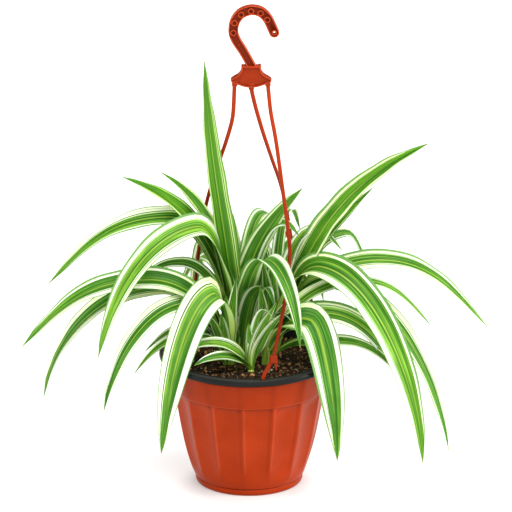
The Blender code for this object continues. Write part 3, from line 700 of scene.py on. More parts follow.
def wall_shade_and_wear(degrees, height):
    """Shade-and-wear level of the wall: the ridges and the band's edge get a worn tone that is also a painted
    highlight; painted shade in the step under the band and the step line near its top, a little over the
    band's face, on one flank of each ridge, under the band's overhang and just above the foot.
    """
    share = panel_share(degrees)
    ridge = math.exp(-(min(share, 1.0 - share) / 0.06)**2)
    # Painted shade on one flank of each ridge
    shaded_flank = math.exp(-((share - 0.88) / 0.07)**2)
    if height > WALL[-1][0] + 0.1:
        if height < 112.2 or 140.5 < height < 141.4:
            return 0.15
        return (0.75 if height < 113.5 else 0.36) - 0.1 * shaded_flank
    # dim: painted shade under the band's overhang between the ridges, and just above the foot
    dim = smooth((height - 104.0) / 7.5) * (1.0 - ridge) + 0.3 * smooth((12.0 - height) / 3.0)
    return 0.5 + (0.36 * ridge - 0.24 * shaded_flank) * smooth((height - 18.0) / 20.0) - 0.30 * dim


def lathe(name, rings, surface, low, high):
    """A closed turned mesh from rings of points, from the bottom centre out, up and back in."""
    points, faces = skin(rings)
    steps, below = len(rings[0]), len(points)
    last = below - steps
    faces += [(below, (i + 1) % steps, i) for i in range(steps)]
    faces += [(below + 1, last + i, last + (i + 1) % steps) for i in range(steps)]
    return mesh_piece(name, points + [Vector((0, 0, low)), Vector((0, 0, high))], faces, surface)


def drill(centre, surface):
    """An upright cylinder that cuts a drain hole."""
    rings = [[centre + p for p in turned_ring(DRAIN_RADIUS, z, DRILL_SIDES)] for z in DRILL_REACH]
    return mesh_piece("drill", *skin(rings, capped=True), surface)


def slab(centre, axes, half, surface, level=0.7, bevel=None):
    """A box with its half sizes along three directions, and its edges rounded by (width, steps) if asked."""
    points = [centre + axes[0] * (i * half[0]) + axes[1] * (j * half[1]) + axes[2] * (k * half[2])
              for k in (-1, 1) for i, j in ((-1, -1), (1, -1), (1, 1), (-1, 1))]
    faces = [(0, 1, 2, 3), (7, 6, 5, 4), (0, 4, 5, 1), (1, 5, 6, 2), (2, 6, 7, 3), (3, 7, 4, 0)]
    box = relief(mesh_piece("slab", points, faces, surface), level=level)
    if bevel:
        apply_step(box, "BEVEL", width=bevel[0] * MM, segments=bevel[1])
    return box


def strand_turn(route):
    """The direction round the pot in which a strand comes down."""
    x, y, _ = route[-1]
    return math.degrees(math.atan2(x, -y))


def make_pot_shell(settings):
    surface = plastic_surface("terracotta plastic", settings.shell_colour, settings.shell_wear_and_highlight, 0.34, 1100.0,
                              settings.dust)
    turns = [FLUTE_PHASE + 360.0 * i / POT_STEPS for i in range(POT_STEPS)]
    rings = [turned_ring(radius, height, POT_STEPS, FLUTE_PHASE) for radius, height in FOOT]
    # Shade-and-wear levels for the shell: painted shade and painted highlights that its plastic reads
    shade_wear_levels = [0.35 if height > 7.0 else 0.5 for _, height in FOOT for _ in turns]
    for height, radius in curve_through(WALL, WALL_ROWS) + BAND:
        rings.append([polar(radius - flute_cut(t, height, settings.flute_depth), t, height) for t in turns])
        shade_wear_levels += [wall_shade_and_wear(t, height) for t in turns]
    rings += [turned_ring(radius, height, POT_STEPS, FLUTE_PHASE) for height, radius in INSIDE]
    shade_wear_levels += [0.5] * (len(INSIDE) * POT_STEPS + 2)
    shell = relief(lathe("pot_shell_fine", rings, surface, 0.0, INSIDE[-1][0]), shade_wear_levels)
    cut(shell, [drill(centre, surface) for centre in turned_ring(DRAIN_RING, 0.0, DRAIN_COUNT)])
    seat(shell, "pot_plastic", "pot_shell")


def rim_shade_and_wear(radius, height):
    """The lip's top edges and its fine steps get a worn tone that is also a painted highlight; the grooves
    between them and its underside get painted shade.
    """
    if 92.0 < radius < 98.3 and height > 150.4:
        return 0.85
    if radius > 98.3 and height > 145.0:
        return 0.36
    return 0.1 if height < 145.0 or height < 150.2 and radius > 92.0 else 0.4


def make_pot_rim(settings):
    surface = plastic_surface("charcoal plastic", settings.rim_colour, settings.rim_wear_and_highlight, 0.36, 900.0,
                              settings.dust)
    rings = [turned_ring(radius, height, RIM_STEPS) for radius, height in RIM_SECTION]
    rim = mesh_piece("pot_rim_fine", *skin(rings, joined=True), surface, 50.0)
    relief(rim, [rim_shade_and_wear(*place) for place in RIM_SECTION for _ in range(RIM_STEPS)])
    half = (0.5 * PRONG_WIDE + 0.3, 0.5 * PRONG_THICK + 0.3, 3.0)
    turns = [strand_turn(route) + SLOT_TURN for route in STRANDS.values()]
    cut(rim, [slab(polar(SLOT_RADIUS, t, SLOT_HEIGHT), facing(t), half, surface) for t in turns])
    seat(rim, "rim_plastic", "pot_rim")


# Soil

def from_crowns(x, y):
    """How far a place lies from the nearest crown's middle."""
    return min(math.hypot(x - cx, y - cy) for cx, cy in CROWNS.values())


def soil_height(x, y):
    """The crumbly surface: swells, clods and crumbs, lower towards the wall and heaped at the crowns."""
    swell = 0.5 * math.sin(0.11 * x + 1.3) + 0.5 * math.sin(0.13 * y + 0.4) + 0.6 * math.sin(0.07 * (x - y))
    place = Vector((x, y, 0.0))
    clods = noise.noise(place * 0.16) * 1.5 + abs(noise.noise(place * 0.42)) * 1.7
    clods += noise.noise(place * 1.1) * 0.55
    edge = smooth((math.hypot(x, y) - 66.0) / 20.0)
    return SOIL_TOP + 1.3 * swell * smooth((from_crowns(x, y) - 9.0) / 14.0) + clods * 0.9 - 1.4 * edge


def soil_body(settings):
    """The soil's own mass, closed all round."""
    rings = [turned_ring(radius, height, SOIL_STEPS) for height, radius in SOIL_SIDE]
    for i in range(SOIL_RINGS):
        row = turned_ring(SOIL_OUTER * (1.0 - i / SOIL_RINGS), 0.0, SOIL_STEPS)
        rings.append([Vector((p.x, p.y, soil_height(p.x, p.y))) for p in row])
    body = lathe("soil_mass", rings, soil_surface(settings), SOIL_SIDE[0][0], soil_height(0, 0))
    body.data.set_sharp_from_angle(angle=math.pi)
    seat(body, "potting_soil", "soil")


def chip_shape(rng, size, flatness, detail):
    """One irregular bit as (points, faces) about the origin."""
    shape = bmesh.new()
    bmesh.ops.create_icosphere(shape, subdivisions=detail, radius=1.0)
    long_side = rng.uniform(0.9, 1.9)
    turn = Euler([rng.uniform(0, FULL_TURN) for _ in range(3)]).to_matrix()
    lean = Euler((rng.gauss(0, 0.35), rng.gauss(0, 0.35), 0)).to_matrix()
    seed = Vector((rng.uniform(0, 99), rng.uniform(0, 99), 0))
    points = []
    for vert in shape.verts:
        p = turn @ vert.co
        p *= 1.0 + 0.45 * noise.noise(p * 1.3 + seed)
        p = Vector((p.x * long_side, p.y * 0.8, p.z * flatness))
        p = lean @ (Euler((0, 0, seed.x)).to_matrix() @ p)
        points.append(p * size)
    faces = [tuple(v.index for v in f.verts) for f in shape.faces]
    shape.free()
    return points, faces


def loose_piece(name, points, faces, tones, surface, sharp):
    """Seat a mesh of loose bits, with a tone for each point."""
    piece = mesh_piece(name, points, faces, surface, sharp)
    point_values(piece, tone=tones)
    seat(piece, "potting_soil", "soil")


def scatter_bits(name, count, sizes, flatness, detail, surface, seed, sink):
    """Many bits on the soil, clear of the crowns, in one mesh."""
    rng = random.Random(seed)
    points, faces, tones = [], [], []
    while count:
        x, y = rng.uniform(-SCATTER_HALF, SCATTER_HALF), rng.uniform(-SCATTER_HALF, SCATTER_HALF)
        if math.hypot(x, y) > BIT_REACH or from_crowns(x, y) < CROWN_CLEAR:
            continue
        count -= 1
        size = between(sizes, rng.random() ** 2.5)
        more, cells = chip_shape(rng, size, flatness, detail)
        centre = Vector((x, y, soil_height(x, y) + size * flatness * sink))
        first = len(points)
        points += [centre + p for p in more]
        faces += [tuple(first + i for i in cell) for cell in cells]
        tones += [rng.random()] * len(more)
    loose_piece(name, points, faces, tones, surface, 28.0)


def soil_fibres(count, surface):
    """Loose threads of coir on the soil."""
    rng = random.Random(FIBRE_SEED)
    points, faces, tones = [], [], []
    for _ in range(count):
        p = polar(FIBRE_REACH * math.sqrt(rng.random()), rng.uniform(0, 360), 0.0)
        heading = rng.uniform(0, 2 * math.pi)
        bend = rng.gauss(0, 0.22)
        length = rng.uniform(5.0, 15.0)
        thick = rng.uniform(0.12, 0.26)
        tones += [rng.random()] * (3 * (FIBRE_STEPS + 1))
        first = len(points)
        for i in range(FIBRE_STEPS + 1):
            p = p + Vector((math.cos(heading), math.sin(heading), 0.0)) * (length / FIBRE_STEPS)
            heading += bend
            across = Vector((-math.sin(heading), math.cos(heading), 0.0))
            base = Vector((p.x, p.y, soil_height(p.x, p.y) + 0.35 + 0.5 * math.sin(i * 0.4)))
            points += [base + across * thick, base + Vector((0, 0, thick * 1.5)), base - across * thick]
        for i in range(FIBRE_STEPS):
            faces += ring_faces(first + 3 * i, first + 3 * i + 3, 3)
        faces += [(first + i, first + i + 1, first + i + 2) for i in (0, 3 * FIBRE_STEPS)]
    loose_piece("soil_fibres", points, faces, tones, surface, 80.0)


# Leaves

def bezier(p0, p1, p2, p3, steps):
    """Points at even steps of a flat Bezier curve, with both its ends."""
    points = []
    for n in range(steps + 1):
        t = n / steps
        a = 1.0 - t
        points.append([a**3 * p0[i] + 3 * a * a * t * p1[i] + 3 * a * t * t * p2[i] + t**3 * p3[i]
                       for i in (0, 1)])
    return points


def aim(start, pull, angle):
    """The handle of a curve: a distance from its end at an angle."""
    return start[0] + pull * math.cos(angle), start[1] + pull * math.sin(angle)


def heading_line(reach, rise, crest, tip, end):
    """A leaf's side view as (reach, height): up from the root, over its crest if it has one, to the tip."""
    root = (reach, ROOT_HEIGHT)
    rise, end = math.radians(rise), math.radians(end)
    foot = [(reach * (0.6 + 0.4 * i / 3), ROOT_FOOT + (ROOT_HEIGHT - ROOT_FOOT) * i / 3) for i in range(3)]
    pull = TIP_PULL * math.dist(tip, crest or root)
    if crest is None:
        return foot + bezier(root, aim(root, pull, rise), aim(tip, -pull, end), tip, 2 * CURVE_STEPS)
    first = aim(root, ROOT_PULL * (crest[1] - root[1]), rise)
    before = (crest[0] - ROOT_PULL * (crest[0] - root[0]), crest[1])
    beyond = (crest[0] + CREST_PULL * (tip[0] - crest[0]), crest[1])
    return (foot + bezier(root, first, before, crest, CURVE_STEPS)[:-1]
            + bezier(crest, beyond, aim(tip, -pull, -end), tip, CURVE_STEPS))


def even_points(line):
    """Points at equal steps along a leaf's line."""
    lengths = [0.0]
    for a, b in zip(line, line[1:]):
        lengths.append(lengths[-1] + (b - a).length)
    steps = max(18, round(lengths[-1] / ROW_LENGTH))
    out = []
    j = 0
    for i in range(steps + 1):
        want = lengths[-1] * i / steps
        while j < len(line) - 2 and lengths[j + 1] < want:
            j += 1
        share = (want - lengths[j]) / max(lengths[j + 1] - lengths[j], 1e-9)
        out.append(line[j].lerp(line[j + 1], min(share, 1.0)))
    return out, lengths[-1]


def blade_width(width, share):
    """Narrow and clasping at the root, widest before the middle, with a long point."""
    return width * (0.34 + 0.66 * smooth(share / 0.36)) * (1.0 - share**3.7)


def blade_fold(share):
    """How steeply the two halves rise from the midrib: folded at the root, shallow beyond."""
    return 1.1 - 0.78 * smooth(share / 0.35) - 0.12 * smooth(2.0 * share - 1.0)


def blade_faces(steps):
    """Faces of a blade: its two sides and its two rims between rows, and its closed ends."""
    row = 2 * LANES
    faces = []
    for a in range(0, steps * row, row):
        b = a + row
        for j in range(LANES - 1):
            faces.append((a + j, a + j + 1, b + j + 1, b + j))
            faces.append((a + LANES + j, b + LANES + j, b + LANES + j + 1, a + LANES + j + 1))
        faces.append((a, b, b + LANES, a + LANES))
        faces.append((a + LANES - 1, a + row - 1, b + row - 1, b + LANES - 1))
    for first in (0, steps * row):
        upper = tuple(first + j for j in range(LANES))
        faces.append(upper + tuple(first + row - 1 - j for j in range(LANES)))
    return faces


def make_leaf(name, crown, heading, line, width, turn, tip_turn, surface, settings, seed, fresh):
    """A closed blade with a channelled, gently rippled section and a keel under the midrib."""
    x, y = CROWNS[crown]
    sideways, outward, _ = facing(heading)
    path, length = even_points([Vector((x, y, 0.0)) + outward * r + Vector((0, 0, z)) for r, z in line])
    rng = random.Random(seed)
    phases = [rng.uniform(0, FULL_TURN) for _ in range(4)]
    waves = [rng.uniform(55.0, 90.0), rng.uniform(34.0, 60.0)]
    size = settings.ripple * min(1.0, width / 24.0)
    steps = len(path) - 1
    points, along_values = [], []
    for i, p in enumerate(path):
        share = i / steps
        along = direction(path, i)
        side = (sideways - along * sideways.dot(along)).normalized()
        face = along.cross(side)
        late = smooth((share - 0.45) / 0.55)
        angle = math.radians(turn * smooth(share / 0.45) + (tip_turn - turn) * late)
        across = side * math.cos(angle) - face * math.sin(angle)
        up = face * math.cos(angle) + side * math.sin(angle)
        slope = blade_fold(share)
        spread = max(0.5 * blade_width(width, share), 0.35) / math.hypot(1.0, slope)
        s = share * length
        rise = smooth(share / 0.3) * smooth((1.0 - share) / 0.12)
        ripples = [size * rise * (math.sin(FULL_TURN * s / waves[0] + phases[k])
                                  + 0.5 * math.sin(FULL_TURN * s / waves[1] + phases[k + 2])) for k in (0, 1)]
        top, bottom = [], []
        for u in ACROSS:
            ripple = ripples[0 if u < 0 else 1] * u * u
            top.append(p + across * (u * spread) + up * (abs(u)**1.3 * spread * slope + ripple))
            thick = between((settings.edge_thick, settings.rib_thick), math.exp(-(u / 0.16)**2))
            bottom.append(top[-1] - up * (thick * (1.0 - 0.5 * share)))
        points += top + bottom
        along_values += [share] * (2 * LANES)
    across_values = [0.5 * (u + 1.0) for u in ACROSS] * (2 * len(path))
    leaf = mesh_piece("leaf_" + name, points, blade_faces(steps), surface, 50.0)
    point_values(leaf, across=across_values, along=along_values,
                 under=([0.0] * LANES + [1.0] * LANES) * len(path),
                 seed=[(seed * GOLDEN) % 1.0] * len(points), fresh=[fresh] * len(points))
    lay_out_blade(leaf.data, across_values, along_values)
    seat(leaf, "leaf", "rosette_" + crown)


def lay_out_blade(mesh, across, along):
    """Lay the blade's two faces side by side in the texture square, with its rim between them."""
    layer = mesh.uv_layers.new(name="OFBake")
    for face in mesh.polygons:
        corners = [(k, mesh.loops[k].vertex_index) for k in face.loop_indices]
        flat = len({v % (2 * LANES) < LANES for _, v in corners}) == 1
        for k, v in corners:
            upper = v % (2 * LANES) < LANES
            if flat:
                u = (0.01 if upper else 0.52) + 0.47 * across[v]
            else:
                u = (0.487 if across[v] < 0.5 else 0.499) + (0.0 if upper else 0.009)
            layer.data[k].uv = (u, 0.01 + 0.98 * along[v])


def crown_leaves(crown):
    """A crown's leaves from the highest to the lowest."""
    rows = [row for row in LEAVES if row[1] == crown]
    return sorted(rows, key=lambda row: -(row[4] or row[5])[1])


def make_crown(crown, surface):
    """The pale body that the leaves spring from, ribbed like overlapping sheaths."""
    x, y = CROWNS[crown]
    shares = [i / CROWN_ROWS for i in range(CROWN_ROWS + 1)]
    rings = []
    for share in shares:
        rings.append([])
        for j in range(CROWN_STEPS):
            t = 2 * math.pi * j / CROWN_STEPS
            r = (5.0 - 2.2 * share - 1.2 * share**6) * (1.0 + 0.10 * abs(math.sin(2.5 * t + 1.4 * share)))
            height = ROOT_FOOT - 1.0 + CROWN_TALL * share
            rings[-1].append(Vector((x + r * math.cos(t), y + r * math.sin(t), height)))
    body = mesh_piece("crown_" + crown, *skin(rings, capped=True), surface, 60.0)
    point_values(body, across=[j / CROWN_STEPS for _ in shares for j in range(CROWN_STEPS)],
                 along=[share for share in shares for _ in range(CROWN_STEPS)],
                 seed=[x * 0.013 % 1.0] * (len(shares) * CROWN_STEPS))
    seat(body, "leaf", "rosette_" + crown)


# Hanger

def flat_band(name, outline, thick, surface, level=0.0):
    """A closed outline in the hanger's plane, given as (right, height), with a thickness."""
    rings = [[Vector((x, y, z)) for x, z in outline] for y in (-0.5 * thick, 0.5 * thick)]
    # A web's level defaults to 0: painted shade in the recess between ribs
    return relief(mesh_piece(name, *skin(rings, capped=True), surface), level=level)


def eased_section(low, near, far, high, half, inset):
    """Eight points (place, depth) of a section whose two faces are eased into its sides."""
    return [(low, inset - half), (near, -half), (far, -half), (high, inset - half),
            (high, half - inset), (far, half), (near, half), (low, half - inset)]


def raised_border(name, outline, wide, thick, surface, closed=True):
    """A rib that follows just inside an outline, rounded on its faces."""
    path = [Vector(p) for p in outline]
    inset = min(RIB_EASE_SHARE * wide, RIB_EASE_MOST)
    # Known fault: with an inset of 0.5 mm or more, as on the plate, each face's two points are crossed
    near, far = sorted((inset / wide, 1.0 - inset / wide), reverse=inset >= 0.5)
    section = eased_section(0.0, near, far, 1.0, 0.5 * thick, inset)
    rings = []
    for i, p in enumerate(path):
        along = (path[(i + 1) % len(path)] - path[i - 1]).normalized() if closed else direction(path, i)
        inner = p + Vector((along.y, -along.x)) * wide
        spots = [(p.lerp(inner, share), depth) for share, depth in section]
        rings.append([Vector((spot.x, depth, spot.y)) for spot, depth in spots])
    # Painted shade on the rib's inner side; its faces take the worn tone that is also a painted highlight
    levels = [0.55, 1.0, 1.0, 0.1, 0.1, 1.0, 1.0, 0.55] * len(path)
    return relief(mesh_piece(name, *skin(rings, joined=closed, capped=not closed), surface), levels)


def circle(centre, radius, sides):
    """Points (right, height) round a centre in the hanger's plane."""
    turns = [2 * math.pi * i / sides for i in range(sides)]
    return [(centre[0] + radius * math.cos(t), centre[1] + radius * math.sin(t)) for t in turns]


def ring_boss(centre, outer, inner, thick, surface):
    """A short ring standing out of both faces."""
    section = eased_section(inner, inner + BOSS_EASE, outer - BOSS_EASE, outer, 0.5 * thick, BOSS_EASE)
    turns = [2 * math.pi * i / BOSS_SIDES for i in range(BOSS_SIDES)]
    x, z = centre
    rings = [[Vector((x + q * math.cos(t), depth, z + q * math.sin(t))) for q, depth in section]
             for t in turns]
    # Painted shade inside the ring's hole and on its outer side; its faces take the worn tone that is also a
    # painted highlight
    levels = [-1.0, 0.8, 0.9, 0.2, 0.2, 0.9, 0.8, -1.0] * BOSS_SIDES
    return relief(mesh_piece("ring", *skin(rings, joined=True), surface), levels)


def hook_outline(inset=0.0):
    """The hook's band: offset to both sides of its centre line, with a round tip."""
    line = curve_through(HOOK_LINE, 7)
    left, right = [], []
    last = len(line) - 1
    for i, p in enumerate(line):
        along = direction(line, i)
        normal = Vector((-along.y, along.x))
        half = 0.5 * between((SHANK_WIDE, HOOK_WIDE), smooth(i / (0.4 * last))) - inset
        left.append(p + normal * half)
        right.append(p - normal * half)
    for edge in (left, right):
        edge[0] = edge[0].lerp(edge[1], (SHANK_FOOT - edge[0].y) / (edge[1].y - edge[0].y))
    half = 0.5 * HOOK_WIDE - inset
    turns = [math.pi * i / TIP_SIDES for i in range(1, TIP_SIDES)]
    tip = [line[-1] + normal * (half * math.cos(a)) + along * (half * math.sin(a)) for a in turns]
    return [tuple(p) for p in left + tip + right[::-1]]


def plate_outline():
    """The flared plate's outline, clockwise from the top, with eased curves."""
    right = [(PLATE_CENTRE + x, z) for x, z in curve_through(PLATE_HALF, 4)]
    return right + [(2 * PLATE_CENTRE - x, z) for x, z in reversed(right[1:-1])]


def make_hanger_hook(surface, settings):
    tip, plate, web_thick = HOOK_LINE[-1], plate_outline(), settings.web_thick
    # The webs get low levels: painted shade in the recess between the ribs
    web = flat_band("hook_web", hook_outline(0.4), web_thick, surface)
    cut(web, [flat_band("hole", circle(tip, TIP_HOLE, 20), 30.0, surface)])
    pieces = [web, raised_border("hook_rib", hook_outline(), settings.rib_wide, HOOK_THICK, surface,
                                 closed=False)]
    pieces += [ring_boss(centre, 3.7, 2.15, HOOK_THICK - 0.3, surface) for centre in HOOK_RINGS]
    pieces += [ring_boss(tip, 3.2, TIP_HOLE, HOOK_THICK - 1.6, surface),
               ring_boss((-11.0, 508.6), 1.5, 0.6, web_thick + 1.2, surface),
               flat_band("plate_web", plate, PLATE_WEB, surface, 0.28),
               raised_border("plate_rib", plate, PLATE_RIB_WIDE, PLATE_THICK, surface)]
    pieces += [ring_boss((PLATE_CENTRE + x, z), *sizes, surface) for x, z, *sizes in PLATE_BOSSES]
    arc = [(PLATE_CENTRE + 0.4 + 6.4 * math.cos(t), 468.6 + 5.6 * math.sin(t))
           for t in [math.radians(150 - 8.5 * i) for i in range(15)]]
    pieces.append(raised_border("plate_arc", arc, 0.5, 5.0, surface, closed=False))
    pieces.append(slab(Vector((PLATE_CENTRE, 0.0, LIP_HEIGHT)), SQUARE, (10.9, 0.5 * PLATE_THICK + 0.3, 0.9),
                       surface, bevel=(0.6, 3)))
    pieces.append(ring_boss((PLATE_CENTRE + 9.4, LIP_HEIGHT), 1.6, 0.3, PLATE_THICK + 0.4, surface))
    half = (0.5 * STRAND_WIDE + 0.7, 0.5 * STRAND_THICK + 0.9, 3.6)
    for (x, _, z), *_ in STRANDS.values():
        pieces.append(slab(Vector((x, 0.0, z - 3.4)), SQUARE, half, surface, bevel=(0.9, 3)))
    seat(fuse("hanger_hook_fine", pieces), "hanger_plastic", "hanger_hook")


def moulded_bar(name, line, turns, widths, thicks, surface, levels=(0.1, 0.1)):
    """A bar with a softly squared section, its flat side facing from one turn round to another."""
    corners = [2 * math.pi * (k + 0.5) / BAR_SIDES for k in range(BAR_SIDES)]
    rings, shade_wear_levels = [], []
    for i, p in enumerate(line):
        share = i / (len(line) - 1)
        along = direction(line, i)
        across = along.cross(polar(1.0, between(turns, smooth(2.0 * share - 0.2)), 0.0)).normalized()
        out = across.cross(along).normalized()
        half, deep = 0.5 * between(widths, share), 0.5 * between(thicks, share)
        rings.append([])
        for c, s in [(math.cos(a), math.sin(a)) for a in corners]:
            rings[-1].append(p + across * (half * math.copysign(abs(c)**BAR_POWER, c))
                             + out * (deep * math.copysign(abs(s)**BAR_POWER, s)))
        # Levels run from one end to the other; low levels paint shade, and on a strand the level falls
        # towards the bottom
        shade_wear_levels += [between(levels, smooth(2.0 * share - 0.5))] * BAR_SIDES
    return relief(mesh_piece(name, *skin(rings, capped=True), surface, 50.0), shade_wear_levels)


def make_strand(side, surface):
    """A strand with its barbs and its forked clip in the rim's slot."""
    route = STRANDS[side]
    turn = strand_turn(route)
    sideways, outward, up = facing(turn)
    line = curve_through(route, 9)
    # The strand's level falls from 0.6 to 0: painted shade, darker towards the bottom where it runs into the
    # leaves
    pieces = [moulded_bar("strand", line, (180.0 * round(turn / 180.0), turn),
                          (STRAND_WIDE, STRAND_WIDE * 0.8), (STRAND_THICK, STRAND_THICK), surface,
                          (0.6, 0.0))]
    nearest = min(range(1, len(line) - 1), key=lambda i: abs(line[i].z - BARB_HEIGHT))
    along = direction(line, nearest)
    across = along.cross(outward).normalized()
    for way in (-1, 1):
        base = line[nearest] + across * (way * 1.2)
        barb = [base + along * 4.5, base + across * (way * 1.0) + along * 1.0,
                base + across * (way * 1.9) - along * 2.6]
        pieces.append(moulded_bar("barb", barb, (turn, turn), (2.6, 0.9), (2.4, 1.6), surface))
    centre = Vector(route[-1]) - up * (0.5 * CLIP_TALL - 2.0)
    # The clip gets a low level: painted shade
    pieces.append(slab(centre, (sideways, outward, up), (0.5 * CLIP_WIDE, 0.5 * CLIP_THICK, 0.5 * CLIP_TALL),
                       surface, 0.1, (1.1, 4)))
    slot = turn + SLOT_TURN
    prong = [centre - up * 2.0 - sideways * 2.4]
    prong += [polar(SLOT_RADIUS, slot, z) for z in (154.5, 150.6, PRONG_TOE)]
    start = centre - up * 2.5 + sideways * 2.6
    end = start - up * (SHORT_PRONG - 4.0) + outward * 1.4
    pieces += [moulded_bar("long_prong", curve_through(prong, 5), (slot, slot),
                           (PRONG_WIDE, PRONG_WIDE * 0.9), (PRONG_THICK, PRONG_THICK * 0.8), surface),
               moulded_bar("short_prong", curve_through([start, start.lerp(end, 0.5), end], 4), (turn, turn),
                           (3.2, 1.6), (2.4, 1.6), surface)]
    seat(fuse("hanger_strand_%s_fine" % side, pieces), "hanger_plastic", "hanger_strand_" + side)


# Stage

def soft_sun(name, strength, degrees, elevation, softness, colour):
    """A broad, distant light from a direction round the pot."""
    light = bpy.data.lights.new(name, "SUN")
    light.energy = strength
    light.angle = math.radians(softness)
    light.color = colour
    toward = polar(math.cos(math.radians(elevation)), degrees, math.sin(math.radians(elevation)))
    turn_to(new_object(name, light), toward)


def turn_to(item, back):
    """Turn a light or camera so that its back points one way."""
    item.rotation_mode = "QUATERNION"
    item.rotation_quaternion = back.to_track_quat("Z", "Y")


def make_stage(settings):
    """Pale floor with a painted contact shadow round the pot's foot, soft light and the camera at the
    photograph's angle.
    """
    scene = bpy.context.scene
    surface, w = new_surface("pale floor", Roughness=0.9, Specular_IOR_Level=0.1,
                             Emission_Strength=settings.glow)
    place = w.place()
    # Painted contact shadow: the floor's glow is dimmed to 0.42 close to the pot's foot
    away = w.read("ShaderNodeVectorMath", (place, SHADE_CENTRE), "Value", operation="DISTANCE")
    w.dress(Emission_Color=w.blend(w.ease(away, 0.048, 0.092), (0.42, 0.42, 0.42), WHITE),
            Base_Color=w.blend(w.noise(place, 1.5, 2.0), [c * 0.995 for c in settings.floor_colour],
                               settings.floor_colour))
    corners = [(x, y, 0) for x, y in ((-1, -1), (1, -1), (1, 1), (-1, 1))]
    floor = mesh_piece("floor", [Vector(p) * FLOOR_HALF for p in corners], [(0, 1, 2, 3)], surface)
    world = bpy.data.worlds.new("studio")
    world.use_nodes = True
    background = world.node_tree.nodes["Background"].inputs
    sky = Wiring(world.node_tree)
    outward = sky.read("ShaderNodeTexCoord", output="Generated")
    toward = sky.read("ShaderNodeVectorMath", (outward, SKY_SIDE), "Value", operation="DOT_PRODUCT")
    sky.plug(background["Color"], WHITE)
    sky.plug(background["Strength"], sky.ease(toward, -0.8, 0.9, 0.1, settings.fill))
    scene.world = world
    soft_sun("key", settings.key, 25.0, 62.0, 40.0, (1.0, 0.985, 0.96))
    soft_sun("front", settings.front, 5.0, 15.0, 50.0, (1.0, 0.99, 0.97))
    soft_sun("right side", settings.side, 82.0, 16.0, 18.0, (1.0, 0.99, 0.97))
    soft_sun("left side", settings.side * 0.7, -84.0, 18.0, 18.0, (0.97, 0.985, 1.0))
    scene.view_settings.view_transform = "Standard"
    scene.view_settings.look = "Medium High Contrast"
    camera = bpy.data.cameras.new("camera")
    camera.sensor_width = SENSOR
    camera.lens = SENSOR * settings.distance / (PIXEL * MM * IMAGE_SIDE)
    camera.clip_end = 200.0
    back = Vector((0.0, -math.cos(settings.elevation), math.sin(settings.elevation)))
    scene.camera = new_object("camera", camera)
    scene.camera.location = Vector(VIEW_POINT) * MM + back * settings.distance
    turn_to(scene.camera, back)


# Settings

def colour_setting(name, description, default):
    return FloatVectorProperty(name=name, description=description, default=default, size=3, min=0.0, max=1.0,
                               subtype="COLOR")


def number(name, description, default, most, least=0.0, subtype="NONE", unit="NONE"):
    return FloatProperty(name=name, description=description, default=default, min=least, max=most,
                         subtype=subtype, unit=unit)


def amount(name, description, default, most):
    return IntProperty(name=name, description=description, default=default, min=0, max=most)


class PotSettings(bpy.types.PropertyGroup):
    shell_colour: colour_setting("Shell colour", "Colour of the fluted outer pot", (0.350, 0.038, 0.003))
    rim_colour: colour_setting("Rim colour", "Colour of the inner layer and its lip", (0.016, 0.018, 0.017))
    # The worn tones are partly real wear and partly a painted highlight: on the pot's ridges and band edge,
    # and on the lip's fine steps
    shell_wear_and_highlight: colour_setting("Worn shell", "Paler tone where the pot's ridges are rubbed",
                               (0.55, 0.11, 0.045))
    rim_wear_and_highlight: colour_setting("Worn rim", "Paler tone on the lip's edges", (0.36, 0.34, 0.29))
    flute_depth: number("Flute depth", "How far the panels dish in, in millimetres", 3.5, 4.0)
    dust: number("Dust", "How much potting dust has settled", 0.22, 1.0, subtype="FACTOR")


class SoilSettings(bpy.types.PropertyGroup):
    soil_dark: colour_setting("Dark soil", "Colour of the damp clods", (0.006, 0.0035, 0.002))
    soil_brown: colour_setting("Brown soil", "Colour of the drier mix", (0.042, 0.021, 0.008))
    soil_fleck: colour_setting("Flecks", "Colour of the fibre in the mix", (0.24, 0.135, 0.062))
    bark_count: amount("Bark bits", "How many bits of bark lie on top", 1500, 4000)
    perlite_count: amount("Perlite bits", "How many pale mineral bits lie on top", 110, 1000)
    fibre_count: amount("Fibres", "How many loose threads lie on top", 120, 1000)


class LeafSettings(bpy.types.PropertyGroup):
    # Deep green is also the painted shade beside the midrib
    deep_green: colour_setting("Deep green", "Green beside the midrib and in shaded streaks",
                               (0.022, 0.125, 0.004))
    mid_green: colour_setting("Mid green", "Main green of the blade", (0.100, 0.275, 0.046))
    bright_green: colour_setting("Bright green", "Green of young leaves and bright streaks",
                                 (0.26, 0.50, 0.045))
    fresh_green: colour_setting("Fresh green", "Green of the young upright leaves", (0.092, 0.275, 0.0))
    edge_green: colour_setting("Edge green", "Lines along the blade's edges", (0.060, 0.23, 0.010))
    lime: colour_setting("Lime", "Midrib line and the margins low on the blade", (0.54, 0.70, 0.10))
    cream: colour_setting("Cream", "Streaks in the margins", (0.78, 0.86, 0.58))
    white: colour_setting("White", "Margins on the open blade", (0.86, 0.90, 0.78))
    sheath: colour_setting("Sheath", "The blade's root", (0.32, 0.52, 0.05))
    underside: colour_setting("Underside", "Tint of the lower face", (0.24, 0.44, 0.10))
    dry_tip: colour_setting("Dry tip", "The point of an old leaf", (0.36, 0.24, 0.09))
    margin_share: number("Margin share", "Least width of a margin as a share of the blade", 0.145, 0.4,
                         subtype="FACTOR")
    edge_thick: number("Edge thickness", "Blade thickness at its edges, in millimetres", 0.42, 2.0, 0.1)
    rib_thick: number("Midrib thickness", "Blade thickness at the midrib, in millimetres", 0.95, 3.0, 0.1)
    ripple: number("Ripple", "Height of the edge's waves, in millimetres", 0.9, 4.0)


